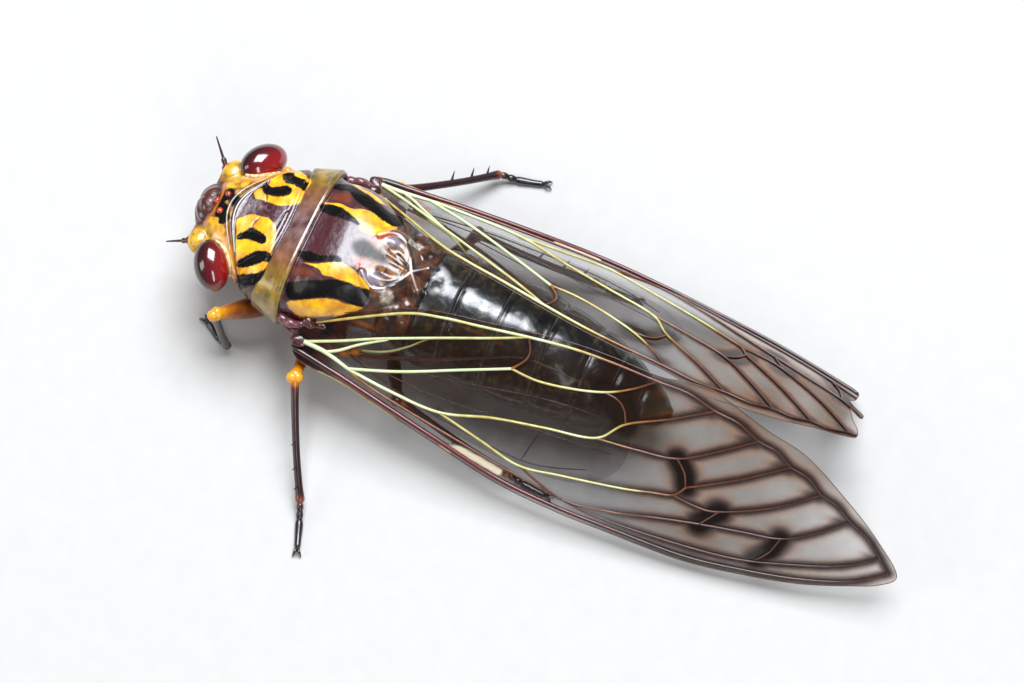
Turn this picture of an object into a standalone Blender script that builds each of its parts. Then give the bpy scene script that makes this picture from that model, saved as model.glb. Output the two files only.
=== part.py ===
"""A life-size cicada, Champaka wallacei, standing with its wings folded like a roof.

X points to the insect's left, -Y is the way it faces and Z is up. The feet stand on Z = 0.
Sizes are in millimetres and turned to metres where each mesh is made.
"""

import math

import bmesh
import bpy
from mathutils import Vector
from mathutils.geometry import delaunay_2d_cdt

for old_object in list(bpy.data.objects):
    bpy.data.objects.remove(old_object, do_unlink=True)

MM = 0.001
GAP = 0.3
SIDES = (("left", 1.0), ("right", -1.0))

# The empty that carries the insect puts the middle of its outline over the origin.
MIDDLE_X = 2.75
MIDDLE_Y = 3.02
carrier = bpy.data.objects.new("cicada", None)
carrier.location = (-MIDDLE_X * MM, -MIDDLE_Y * MM, 0.0)
bpy.context.scene.collection.objects.link(carrier)


def finish(name, colour, roughness):
    """A plain coat of one colour."""
    material = bpy.data.materials.new(name)
    material.use_nodes = True
    shader = material.node_tree.nodes["Principled BSDF"]
    shader.inputs["Base Color"].default_value = (*colour, 1.0)
    shader.inputs["Roughness"].default_value = roughness
    shader.inputs["Metallic"].default_value = 0.0
    return material


CUTICLE_YELLOW = (0.80, 0.33, 0.02)
CUTICLE_BROWN = (0.16, 0.03, 0.01)
CUTICLE_BLACK = (0.02, 0.016, 0.014)
EYE_RED = (0.22, 0.005, 0.01)
WING_SMOKE = (0.30, 0.25, 0.17)
LEG_ORANGE = (0.42, 0.12, 0.02)
LEG_DARK = (0.035, 0.012, 0.012)


def solid(name, points, faces, colour=CUTICLE_BROWN, roughness=0.3):
    """A closed mesh from points in millimetres, hung on the carrier."""
    mesh = bpy.data.meshes.new(name)
    mesh.from_pydata([(x * MM, y * MM, z * MM) for x, y, z in points], [], faces)
    shape = bmesh.new()
    shape.from_mesh(mesh)
    bmesh.ops.recalc_face_normals(shape, faces=shape.faces)
    shape.to_mesh(mesh)
    shape.free()
    mesh.shade_smooth()
    mesh.set_sharp_from_angle(angle=math.radians(40))
    mesh.materials.append(finish(name, colour, roughness))
    thing = bpy.data.objects.new(name, mesh)
    bpy.context.scene.collection.objects.link(thing)
    thing.parent = carrier
    return thing


def combine(body, operation, others, solver="EXACT"):
    """Join the other closed meshes to the body, or cut them out of it, and remove them."""
    group = bpy.data.collections.new("joined")
    bpy.context.scene.collection.children.link(group)
    for other in others:
        group.objects.link(other)
    boolean = body.modifiers.new("combine", "BOOLEAN")
    boolean.operation = operation
    boolean.operand_type = "COLLECTION"
    boolean.collection = group
    boolean.solver = solver
    bpy.context.view_layer.update()
    graph = bpy.context.evaluated_depsgraph_get()
    result = bpy.data.meshes.new_from_object(body.evaluated_get(graph))
    body.modifiers.clear()
    body.data = result
    for other in others:
        bpy.data.objects.remove(other, do_unlink=True)
    bpy.data.collections.remove(group)


def keep_largest(body):
    """Drop every loose scrap and sealed hollow: only the largest closed surface stays."""
    shape = bmesh.new()
    shape.from_mesh(body.data)
    unseen = set(shape.faces)
    shells = []
    while unseen:
        shell = [unseen.pop()]
        for face in shell:
            for edge in face.edges:
                for neighbour in edge.link_faces:
                    if neighbour in unseen:
                        unseen.remove(neighbour)
                        shell.append(neighbour)
        shells.append(shell)
    shells.sort(key=lambda faces: sum(face.calc_area() for face in faces))
    for shell in shells[:-1]:
        bmesh.ops.delete(shape, geom=shell, context="FACES")
    shape.to_mesh(body.data)
    shape.free()


def fuse(pieces, cutters=(), solver="EXACT"):
    """Join the pieces into the first one, cut it clear of its neighbours and tidy it."""
    body = pieces[0]
    if len(pieces) > 1:
        combine(body, "UNION", pieces[1:], solver)
    if cutters:
        combine(body, "DIFFERENCE", cutters, solver)
    keep_largest(body)
    return body


def eased(stations, y):
    """The row of sizes at y, on a smooth curve through the rows of the table."""
    last = len(stations) - 1
    i = 0
    while i < last - 1 and y > stations[i + 1][0]:
        i += 1
    before = stations[max(i - 1, 0)]
    start = stations[i]
    end = stations[i + 1]
    after = stations[min(i + 2, last)]
    span = end[0] - start[0]
    t = min(max((y - start[0]) / span, 0.0), 1.0)
    row = []
    for column in range(1, len(start)):
        slope_in = (end[column] - before[column]) / (end[0] - before[0])
        slope_out = (after[column] - start[column]) / (after[0] - start[0])
        keep_start = (2 * t**3 - 3 * t**2 + 1) * start[column]
        keep_end = (3 * t**2 - 2 * t**3) * end[column]
        lean = (t**3 - 2 * t**2 + t) * slope_in + (t**3 - t**2) * slope_out
        row.append(keep_start + keep_end + lean * span)
    return row


def section(y, swell, bow, count):
    """One cross-section of the body: ellipse halves with their own squareness above and
    below. The bow carries the sides back, as the rear edge of the head does."""
    ring = []
    for i in range(count):
        angle = math.tau * i / count
        c = math.cos(angle)
        s = math.sin(angle)
        above, below = eased(BODY, y)[4:]
        power = above if s > 0 else below
        share = abs(c) ** (2 / power)
        place = y + bow * share**2
        half, top, middle, bottom = eased(BODY, place)[:4]
        reach = top - middle if s > 0 else middle - bottom
        x = math.copysign(share, c) * (half + swell)
        z = middle + math.copysign(abs(s) ** (2 / power), s) * (reach + swell)
        ring.append((x, place, z))
    return ring


def skin_over(rings):
    """Faces over a row of equal rings, with a fan over each end."""
    points = [point for ring in rings for point in ring]
    count = len(rings[0])
    faces = []
    for i in range(len(rings) - 1):
        for j in range(count):
            k = (j + 1) % count
            a = i * count
            faces.append((a + j, a + k, a + count + k, a + count + j))
    for ring, start in ((rings[0], 0), (rings[-1], (len(rings) - 1) * count)):
        top = Vector(ring[count // 4])
        opposite = Vector(ring[count // 4 + count // 2])
        points.append(tuple((top + opposite) / 2))
        hub = len(points) - 1
        for j in range(count):
            faces.append((start + j, start + (j + 1) % count, hub))
    return points, faces


def loft(name, places, colour=CUTICLE_BROWN):
    """A length of the body through cross-sections, each (y, swell, bow)."""
    rings = [section(y, swell, bow, BODY_SIDES) for y, swell, bow in places]
    points, faces = skin_over(rings)
    return solid(name, points, faces, colour)


def evenly(start, end, steps):
    """Plain places from start to end."""
    return [(start + (end - start) * i / steps, 0.0, 0.0) for i in range(steps + 1)]


def ellipsoid(name, centre, radii, axis=(0.0, 0.0, 1.0), columns=16, rows=10):
    """A ball stretched by its radii, with the third radius along the axis."""
    turn = Vector((0, 0, 1)).rotation_difference(Vector(axis))
    points = []
    for i in range(1, rows):
        tilt = math.pi * i / rows
        for j in range(columns):
            spin = math.tau * j / columns
            x = radii[0] * math.sin(tilt) * math.cos(spin)
            y = radii[1] * math.sin(tilt) * math.sin(spin)
            points.append(Vector((x, y, radii[2] * math.cos(tilt))))
    faces = []
    for i in range(rows - 2):
        for j in range(columns):
            k = (j + 1) % columns
            a = i * columns
            faces.append((a + j, a + k, a + columns + k, a + columns + j))
    points.append(Vector((0, 0, radii[2])))
    points.append(Vector((0, 0, -radii[2])))
    bottom = (rows - 2) * columns
    for j in range(columns):
        k = (j + 1) % columns
        faces.append((k, j, len(points) - 2))
        faces.append((bottom + j, bottom + k, len(points) - 1))
    placed = [tuple(turn @ point + Vector(centre)) for point in points]
    return solid(name, placed, faces)


def tube(name, route, radii, sides=8, floor=None, colour=LEG_ORANGE, roughness=0.35):
    """A tapering limb along a route. Nothing of it goes below the floor level."""
    route = [Vector(point) for point in route]
    rings = []
    upright = Vector((0.13, 0.21, 1.0)).normalized()
    for i, point in enumerate(route):
        forward = route[min(i + 1, len(route) - 1)] - route[max(i - 1, 0)]
        forward.normalize()
        across = forward.cross(upright).normalized()
        over = across.cross(forward)
        ring = []
        for j in range(sides):
            angle = math.tau * (j + 0.5) / sides
            spot = point + (across * math.cos(angle) + over * math.sin(angle)) * radii[i]
            if floor is not None:
                spot.z = max(spot.z, floor)
            ring.append(tuple(spot))
        rings.append(ring)
    points, faces = skin_over(rings)
    return solid(name, points, faces, colour, roughness)


def lerp(a, b, t):
    """The point a share t of the way from a to b."""
    return Vector(a) + (Vector(b) - Vector(a)) * t


# Cross-sections of the body, each row: y, half width, top, widest level, bottom,
# squareness above, squareness below.
BODY = (
    (-24.7, 1.7, 8.0, 6.6, 4.4, 2.0, 2.0),
    (-23.8, 2.8, 8.8, 6.8, 3.7, 2.2, 1.8),
    (-22.8, 3.4, 9.2, 7.0, 3.2, 2.3, 1.7),
    (-21.6, 3.9, 9.3, 7.0, 2.9, 2.4, 1.7),
    (-20.4, 4.6, 9.45, 6.9, 2.8, 2.4, 1.7),
    (-19.2, 5.3, 9.8, 6.9, 2.5, 2.6, 1.7),
    (-18.0, 5.7, 10.0, 6.9, 2.3, 2.7, 1.7),
    (-17.0, 6.0, 10.4, 6.9, 2.2, 2.7, 1.7),
    (-16.2, 6.1, 10.75, 6.9, 2.1, 2.7, 1.7),
    (-15.8, 5.65, 10.6, 6.9, 2.1, 2.6, 1.8),
    (-14.6, 5.7, 11.0, 6.9, 1.9, 2.6, 1.8),
    (-13.2, 5.6, 11.2, 6.9, 1.8, 2.6, 1.8),
    (-11.6, 5.0, 11.1, 6.8, 1.8, 2.4, 1.8),
    (-9.9, 4.55, 10.55, 6.4, 1.8, 2.3, 1.8),
    (-9.3, 4.5, 9.5, 6.2, 1.8, 2.2, 1.8),
    (-8.0, 4.6, 9.35, 5.9, 1.7, 2.0, 1.8),
    (-6.7, 4.5, 9.55, 5.6, 1.8, 1.75, 1.9),
    (-4.5, 4.7, 9.8, 5.4, 1.5, 1.7, 1.9),
    (-1.0, 4.65, 9.6, 5.3, 1.2, 1.7, 1.9),
    (1.4, 4.5, 9.2, 5.0, 1.1, 1.7, 1.9),
    (4.2, 4.1, 8.5, 4.7, 1.0, 1.75, 1.9),
    (7.5, 3.4, 7.2, 4.2, 1.0, 1.85, 1.9),
    (10.0, 2.3, 5.7, 3.7, 1.2, 2.0, 2.0),
    (12.2, 1.0, 4.2, 3.4, 2.3, 2.0, 2.0),
    (12.9, 0.4, 3.8, 3.4, 3.0, 2.0, 2.0),
)
BODY_SIDES = 32

# Where each length of the body has its cross-sections. The rear edge of the head is
# bowed round the neck, and the pronotum ends in a raised collar.
HEAD_BOW = 2.4
HEAD_REAR = -22.6
HEAD_PLACES = (
    (-24.7, 0.0, 0.0), (-24.3, 0.0, 0.3), (-23.9, 0.0, 0.8), (-23.5, 0.0, 1.3),
    (-23.1, 0.0, 1.8), (-22.8, 0.0, 2.2), (HEAD_REAR + 0.15, 0.0, HEAD_BOW),
)
COLLAR_STEP = 0.18
PRONOTUM_PLACES = (
    (HEAD_REAR + GAP, -0.12, HEAD_BOW), (-22.05, 0.0, 2.28), (-21.2, 0.0, 1.5), (-20.2, 0.0, 0.7),
    (-19.2, 0.0, 0.0), (-18.5, 0.0, -0.4), (-18.1, -0.1, -0.65), (-17.85, -COLLAR_STEP, -0.75),
    (-17.5, COLLAR_STEP, -0.8), (-16.7, COLLAR_STEP, -0.3), (-16.25, 0.0, 0.0),
)
MESOTHORAX_PLACES = evenly(-15.95, -9.9, 8)
METATHORAX_PLACES = ((-9.6, -0.5, 0.0), (-9.25, -0.1, 0.0), (-8.1, 0.0, 0.0), (-7.0, 0.0, 0.0))
SEGMENT_ENDS = (-6.7, -4.3, -0.8, 2.9, 6.0, 8.4)
GROOVE = 0.2
SEGMENT_SLOPE = 0.3
ABDOMEN_PLACES = []
for start, end in zip(SEGMENT_ENDS, SEGMENT_ENDS[1:]):
    ABDOMEN_PLACES.append((start, -GROOVE, 0.0))
    ABDOMEN_PLACES.append((start + SEGMENT_SLOPE, 0.0, 0.0))
    ABDOMEN_PLACES.append(((start + end) / 2, 0.03, 0.0))
    ABDOMEN_PLACES.append((end - SEGMENT_SLOPE, 0.03, 0.0))
ABDOMEN_PLACES.append((SEGMENT_ENDS[-1], -GROOVE, 0.0))
TIP_PLACES = (
    (SEGMENT_ENDS[-1] + GAP, -GROOVE, 0.0), (9.0, 0.0, 0.0), (10.3, 0.0, 0.0), (10.55, -0.12, 0.0),
    (10.9, -0.05, 0.0), (11.9, 0.0, 0.0), (12.5, 0.0, 0.0), (12.9, 0.0, 0.0),
)
WHOLE_BODY = [
    *HEAD_PLACES, *PRONOTUM_PLACES, *MESOTHORAX_PLACES, *METATHORAX_PLACES, *ABDOMEN_PLACES, *TIP_PLACES,
]


def body_clearance():
    """A cutter that keeps the gap all round the body."""
    return loft("clearance", [(y, swell + GAP, bow) for y, swell, bow in WHOLE_BODY])


# Eyes: two eggs that point outward, backward and down.
EYE_CENTRE = (4.5, -22.2, 7.8)
EYE_AXIS = (0.8, 0.5, -0.3)
EYE_RADII = (1.3, 1.35, 1.95)


def eye_ball(name, side, grow):
    """One compound eye, made larger by the last value."""
    centre = (EYE_CENTRE[0] * side, EYE_CENTRE[1], EYE_CENTRE[2])
    axis = (EYE_AXIS[0] * side, EYE_AXIS[1], EYE_AXIS[2])
    return ellipsoid(name, centre, [radius + grow for radius in EYE_RADII], axis, 20, 14)


for side_name, side in SIDES:
    eye = eye_ball("eye_" + side_name, side, 0.0)
    eye.data.materials[0] = finish("eye_" + side_name, EYE_RED, 0.12)

# Head: the capsule between the eyes, the bulging clypeus, the plates over the feelers,
# the rims inside the eyes and three beads of ocelli.
CLYPEUS_CENTRE = (0.0, -23.6, 5.9)
CLYPEUS_RADII = (1.75, 1.7, 3.0)
CLYPEUS_AXIS = (0.0, -0.35, 1.0)
PLATE_CENTRE = (2.9, -23.9, 7.5)
PLATE_RADII = (1.1, 0.9, 0.75)
RIM_CENTRE = (3.7, -21.7, 7.6)
RIM_RADII = (1.25, 1.05, 1.55)
OCELLI = ((0.72, -23.2, 9.0), (-0.72, -23.2, 9.0), (0.0, -23.75, 8.8))
OCELLUS_RADIUS = 0.34
UPRIGHT = (0.0, 0.0, 1.0)


def clypeus(grow):
    """The bulge of the face."""
    return ellipsoid("clypeus", CLYPEUS_CENTRE, [r + grow for r in CLYPEUS_RADII], CLYPEUS_AXIS, 18, 12)


def feeler_plate(side, grow):
    """The plate over the root of one feeler."""
    centre = (PLATE_CENTRE[0] * side, PLATE_CENTRE[1], PLATE_CENTRE[2])
    return ellipsoid("plate", centre, [r + grow for r in PLATE_RADII], UPRIGHT, 12, 8)


head_pieces = [loft("head", HEAD_PLACES), clypeus(0.0)]
head_cutters = [loft("neck", ((HEAD_REAR, 0.5, HEAD_BOW), (-21.0, 0.5, 1.5), (-19.0, 0.5, 0.0)))]
for _, side in SIDES:
    rim_centre = (RIM_CENTRE[0] * side, RIM_CENTRE[1], RIM_CENTRE[2])
    head_pieces.append(feeler_plate(side, 0.0))
    head_pieces.append(ellipsoid("rim", rim_centre, RIM_RADII, UPRIGHT, 14, 8))
    head_cutters.append(eye_ball("clearance", side, GAP))
for place in OCELLI:
    head_pieces.append(ellipsoid("ocellus", place, (OCELLUS_RADIUS,) * 3, UPRIGHT, 8, 6))
fuse(head_pieces, head_cutters)

# Feelers: a short root joint that tapers into a fine bristle.
FEELER_ROOT = (3.0, -24.5, 7.1)
FEELER_TIPS = {"left": (3.5, -26.6, 5.9), "right": (-4.8, -26.2, 8.5)}
FEELER_RADII = (0.34, 0.3, 0.26, 0.16, 0.06)
for side_name, side in SIDES:
    root = Vector((FEELER_ROOT[0] * side, FEELER_ROOT[1], FEELER_ROOT[2]))
    tip = Vector(FEELER_TIPS[side_name])
    inner = lerp(root, tip, -0.15)
    route = [lerp(inner, tip, i / 4) for i in range(5)]
    feeler = tube("antenna_" + side_name, route, FEELER_RADII, 8, None, CUTICLE_BROWN)
    fuse([feeler], [body_clearance(), feeler_plate(side, GAP)])

# Rostrum: the beak that folds back under the thorax.
ROSTRUM_ROUTE = ((0, -23.2, 2.6), (0, -21.9, 1.9), (0, -19.0, 1.45), (0, -17.0, 1.3), (0, -15.4, 1.2))
ROSTRUM_RADII = (0.7, 0.6, 0.45, 0.4, 0.28)
rostrum = tube("rostrum", ROSTRUM_ROUTE, ROSTRUM_RADII, 8, None, CUTICLE_BROWN)
fuse([rostrum], [body_clearance(), clypeus(GAP)])

# Thorax: the pronotum with its raised collar, cut clear of the eyes.
pronotum = loft("pronotum", PRONOTUM_PLACES, CUTICLE_YELLOW)
fuse([pronotum], [eye_ball("clearance", side, GAP) for _, side in SIDES])

# The mesothorax carries the scutellum with its raised cross, and a lump at each wing hinge.
SCUTELLUM_CENTRE = (0.0, -10.0, 10.35)
SCUTELLUM_RADII = (2.35, 1.85, 0.5)
CROSS_FRONT = ((2.2, -10.8, 10.7), (2.35, -10.0, 10.4), (1.7, -9.2, 10.4), (-0.2, -8.1, 10.6))
CROSS_REAR = {"left": (1.0, -7.2, 10.05), "right": (-1.4, -7.3, 10.05)}
CROSS_RADIUS = 0.25
HINGE_CENTRE = (5.75, -15.1, 7.4)
HINGE_RADII = (0.55, 0.55, 0.6)
mesothorax = [loft("mesothorax", MESOTHORAX_PLACES, CUTICLE_YELLOW)]
mesothorax.append(ellipsoid("scutellum", SCUTELLUM_CENTRE, SCUTELLUM_RADII, UPRIGHT, 16, 8))
for side_name, side in SIDES:
    arm_route = [(x * side, y, z) for x, y, z in CROSS_FRONT[:-1]]
    arm_route += [CROSS_FRONT[-1], CROSS_REAR[side_name]]
    mesothorax.append(tube("arm", arm_route, (CROSS_RADIUS,) * len(arm_route), 6))
    hinge = (HINGE_CENTRE[0] * side, HINGE_CENTRE[1], HINGE_CENTRE[2])
    mesothorax.append(ellipsoid("hinge", hinge, HINGE_RADII, UPRIGHT, 10, 6))
fuse(mesothorax)
loft("metathorax", METATHORAX_PLACES)

# Abdomen: five ringed lengths and a pointed tip.
loft("abdomen", ABDOMEN_PLACES, CUTICLE_BLACK)
loft("abdomen_tip", TIP_PLACES, CUTICLE_BLACK)

# Opercula: the two plates under the root of the abdomen.
OPERCULUM_CENTRE = (2.3, -4.6, 1.75)
OPERCULUM_RADII = (1.5, 2.1, 0.85)
OPERCULUM_LEAN = 0.35
for side_name, side in SIDES:
    centre = (OPERCULUM_CENTRE[0] * side, OPERCULUM_CENTRE[1], OPERCULUM_CENTRE[2])
    lean = (OPERCULUM_LEAN * side, 0.0, 1.0)
    plate = ellipsoid("operculum_" + side_name, centre, OPERCULUM_RADII, lean, 16, 8)
    fuse([plate], [body_clearance()])

# Wings: sizes of the flat chart, where the first number runs from root to tip and the
# second from the front edge up to the roof ridge.
WING_ROOT = (5.6, -13.6, 8.0)
ROOF_SLOPE = math.radians(39.7)
TOE_IN = math.radians(0.7)
RISE = math.radians(1.97)
WING_LENGTH = 46.0
TIP_DROOP = 4.34
CAMBER = 0.76
CAMBER_MIDDLE = 2.0
CAMBER_SPAN = 7.0
WING_THICK = 0.52
VEIN_HALF = 0.36
VEIN_RISE = 0.28
VEIN_STEP = 2.0

OUTLINE = (
    (-0.6, -3.0), (3.9, -3.9), (10.8, -5.7), (16.4, -7.2), (21.1, -7.8), (25.1, -8.0), (30.9, -8.2),
    (35.3, -7.7), (39.5, -6.9), (43.1, -5.7), (45.2, -4.8), (46.1, -3.6), (43.9, -1.3), (41.3, 0.7),
    (37.4, 3.1), (34.0, 4.1), (30.8, 5.2), (29.5, 5.6), (27.8, 5.6), (25.5, 5.3), (22.1, 5.5),
    (19.0, 5.5), (15.7, 5.2), (12.0, 4.7), (9.1, 4.3), (6.2, 3.5), (2.0, 1.5), (-0.2, 0.5),
)
TORN_EDGE = (
    (37.8, -7.2), (38.2, -5.4), (38.0, -4.1), (39.3, -3.1), (39.2, -2.5), (38.3, -3.1), (38.8, -1.6),
    (39.6, -0.3), (39.6, 0.9), (37.4, 2.2),
)
VEINS = {
    "ambient": (
        (0.4, 0.1), (2.0, 1.1), (6.2, 3.1), (9.1, 3.9), (12.0, 4.3), (15.7, 4.8), (19.0, 5.1), (22.1, 5.1),
        (25.5, 4.9), (30.1, 4.2), (33.7, 3.1), (36.5, 2.0), (39.2, 0.7), (41.7, -0.6), (44.6, -2.7),
        (45.5, -3.7),
    ),
    "costal": (
        (-0.4, -2.6), (3.9, -3.5), (10.8, -5.3), (16.4, -6.8), (21.1, -7.4), (25.1, -7.6), (30.9, -7.8),
        (35.3, -7.3), (39.5, -6.5), (43.1, -5.3), (45.5, -3.7),
    ),
    "anal": ((-0.1, -1.7), (2.5, -0.6), (5.3, 0.7), (9.5, 2.4), (12.7, 3.6), (14.5, 4.3), (15.7, 4.8)),
    "base": ((-0.1, -1.7), (1.7, -1.9), (3.6, -2.5)),
    "cubital": ((3.6, -2.5), (7.4, -1.2), (11.6, 0.6), (15.2, 2.1)),
    "cubital_cross": ((15.2, 2.1), (16.0, 3.1), (16.1, 3.9), (15.7, 4.8)),
    "cubital_outer": ((15.2, 2.1), (17.2, 1.9), (19.7, 2.2), (22.1, 2.8), (23.9, 3.7), (25.5, 4.9)),
    "fork_cross": ((22.1, 2.8), (23.2, 2.6), (23.9, 2.0), (24.3, 1.0)),
    "median": (
        (3.6, -2.5), (7.1, -3.0), (11.0, -3.2), (14.9, -2.1), (18.8, -1.4), (22.5, -0.8), (24.3, 1.0),
        (27.2, 2.5), (30.1, 4.2),
    ),
    "median_inner": ((22.5, -0.8), (25.7, -0.6), (28.6, -0.2), (31.3, 1.4), (33.7, 3.1)),
    "median_cross": ((28.6, -0.2), (29.4, -1.1), (29.8, -2.2)),
    "median_outer": ((29.8, -2.2), (33.3, -0.2), (36.5, 2.0)),
    "median_front": (
        (11.0, -3.2), (14.5, -4.2), (17.7, -5.1), (20.8, -4.7), (25.3, -4.0), (29.1, -3.1), (29.8, -2.2),
    ),
    "apical_third": ((29.1, -3.1), (31.0, -3.4), (32.6, -3.2), (36.0, -1.6), (39.2, 0.7)),
    "apical_cross": ((32.6, -3.2), (31.5, -4.7)),
    "sector": (
        (17.7, -5.1), (21.4, -6.6), (25.1, -6.2), (28.3, -5.4), (31.5, -4.7), (34.5, -4.2), (37.4, -3.7),
        (39.6, -2.4), (41.7, -0.6),
    ),
    "sector_cross": ((37.4, -3.7), (36.9, -5.1), (36.1, -6.1)),
    "radial": (
        (21.4, -6.6), (24.0, -7.0), (28.7, -7.0), (34.4, -6.6), (38.7, -5.5), (42.1, -4.3), (44.6, -2.7),
    ),
    "subcostal": ((3.6, -2.5), (6.0, -3.4), (12.9, -4.9), (16.5, -5.7), (21.4, -6.6)),
}


def wing_point(side, u, v, lift):
    """A point of the roof that the forewing makes, lifted along its normal."""
    along = Vector((-math.sin(TOE_IN) * math.cos(RISE), math.cos(TOE_IN) * math.cos(RISE), math.sin(RISE)))
    across = Vector((-math.cos(ROOF_SLOPE), 0.0, math.sin(ROOF_SLOPE)))
    across = (across - across.dot(along) * along).normalized()
    normal = across.cross(along) * -1.0
    if normal.z < 0:
        normal = normal * -1.0
    droop = TIP_DROOP * (u / WING_LENGTH) ** 2
    arch = CAMBER * ((v - CAMBER_MIDDLE) / CAMBER_SPAN) ** 2
    spot = Vector(WING_ROOT) + along * u + across * v + normal * (lift - droop - arch)
    return (spot.x * side, spot.y, spot.z)


def smooth_line(knots, step):
    """A smooth line through the knots with a point about every step."""
    knots = [Vector(knot) for knot in knots]
    line = []
    for i in range(len(knots) - 1):
        before = knots[max(i - 1, 0)]
        start = knots[i]
        end = knots[i + 1]
        after = knots[min(i + 2, len(knots) - 1)]
        parts = max(1, round((end - start).length / step))
        for part in range(parts):
            t = part / parts
            turn = (end - before) * 0.5 * (t**3 - 2 * t**2 + t)
            turn = turn + (after - start) * 0.5 * (t**3 - t**2)
            level = start * (2 * t**3 - 3 * t**2 + 1) + end * (3 * t**2 - 2 * t**3)
            line.append(level + turn)
    line.append(knots[-1])
    return line


def distance_to(point, lines):
    """The least distance from a point to any of the lines."""
    least = 1e9
    for line in lines:
        for start, end in zip(line, line[1:]):
            run = end - start
            share = min(max((point - start).dot(run) / run.length_squared, 0.0), 1.0)
            least = min(least, (point - start - run * share).length)
    return least


def inside(point, loop):
    """Whether a point lies inside a closed loop."""
    odd = False
    for a, b in zip(loop, loop[1:] + loop[:1]):
        if (a.y > point.y) != (b.y > point.y):
            if point.x < a.x + (b.x - a.x) * (point.y - a.y) / (b.y - a.y):
                odd = not odd
    return odd


def membrane(name, side, outline, veins, sink, colour, thick=WING_THICK):
    """A thin vane with raised veins, split into the same triangles on both faces."""
    rim = smooth_line(list(outline) + [outline[0]], VEIN_STEP)[:-1]
    lines = [smooth_line(knots, VEIN_STEP) for knots in veins]
    closed_rim = rim + [rim[0]]
    points = list(rim)
    edges = [(i, (i + 1) % len(rim)) for i in range(len(rim))]

    def add_run(run):
        start = len(points)
        points.extend(run)
        edges.extend((start + i, start + i + 1) for i in range(len(run) - 1))

    def add_where(line, clear):
        run = []
        for point in line:
            if clear(point):
                run.append(point)
            elif run:
                add_run(run)
                run = []
        if run:
            add_run(run)

    def in_rim(point):
        return inside(point, rim) and distance_to(point, [closed_rim]) > VEIN_HALF * 0.6

    for i, line in enumerate(lines):
        others = lines[:i] + lines[i + 1:]
        add_where(line, in_rim)
        for way in (-1.0, 1.0):
            border = []
            for j, point in enumerate(line):
                run = line[min(j + 1, len(line) - 1)] - line[max(j - 1, 0)]
                offset = Vector((-run.y, run.x)).normalized() * VEIN_HALF * way
                border.append(point + offset)
            add_where(
                border,
                lambda point: in_rim(point) and distance_to(point, others) > VEIN_HALF * 0.9,
            )
    flat, _, triangles, _, _, _ = delaunay_2d_cdt(points, edges, [], 1, 0.03)
    top = []
    bottom = []
    for point in flat:
        height = VEIN_RISE * max(0.0, 1.0 - distance_to(point, lines) / VEIN_HALF)
        top.append(wing_point(side, point.x, point.y, thick / 2 + height - sink))
        bottom.append(wing_point(side, point.x, point.y, -thick / 2 - sink))
    count = len(flat)
    faces = [tuple(face) for face in triangles]
    faces += [tuple(corner + count for corner in reversed(face)) for face in triangles]
    borders = {}
    for face in triangles:
        for a, b in zip(face, face[1:] + face[:1]):
            borders[(a, b)] = borders.get((a, b), 0) + 1
    for a, b in borders:
        if (b, a) not in borders:
            faces.append((b, a, a + count, b + count))
    return solid(name, top + bottom, faces, colour, 0.15)


BREAK_AT = 37.6
torn_outline = [point for point in OUTLINE if point[0] < BREAK_AT and point[1] < -2.0]
torn_outline += TORN_EDGE
torn_outline += [point for point in OUTLINE if point[0] < BREAK_AT - 0.5 and point[1] > -2.0]

WING_CLEARANCE = WING_THICK + 2 * (GAP + VEIN_RISE)
for side_name, side in SIDES:
    outline = OUTLINE if side > 0 else torn_outline
    vane = membrane("forewing_" + side_name, side, outline, list(VEINS.values()), 0.0, WING_SMOKE)
    cutters = [body_clearance()]
    if side < 0:
        cutters.append(membrane("clearance", 1.0, OUTLINE, [], 0.0, WING_SMOKE, WING_CLEARANCE))
    fuse([vane], cutters)

# Hind wings: shorter fans folded close under the forewings.
HIND_SINK = 0.87
HIND_ROOT = (2.4, -1.4)
HIND_OUTLINE = (
    (2.0, -1.9), (7.0, -3.6), (12.0, -4.8), (18.0, -5.6), (22.0, -5.2), (24.4, -3.4), (24.9, -0.8),
    (23.4, 1.8), (19.4, 3.3), (14.0, 3.6), (9.0, 2.8), (5.0, 1.1), (2.4, -0.4),
)
HIND_VEINS = (
    (HIND_ROOT, (7.0, -3.1), (12.0, -4.2), (18.0, -5.0), (22.4, -3.9)),
    (HIND_ROOT, (9.0, -2.4), (17.0, -2.2), (23.8, -2.0)),
    (HIND_ROOT, (9.0, -1.0), (16.0, 0.2), (23.6, 0.6)),
    (HIND_ROOT, (8.0, 0.3), (14.0, 1.8), (20.0, 2.6)),
    (HIND_ROOT, (6.0, 0.9), (10.0, 2.4)),
    ((17.6, -4.9), (18.4, -2.2)),
    ((15.4, -2.3), (16.0, 0.2)),
)
for side_name, side in SIDES:
    vane = membrane("hindwing_" + side_name, side, HIND_OUTLINE, HIND_VEINS, HIND_SINK, WING_SMOKE)
    fuse([vane], [body_clearance()])

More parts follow.
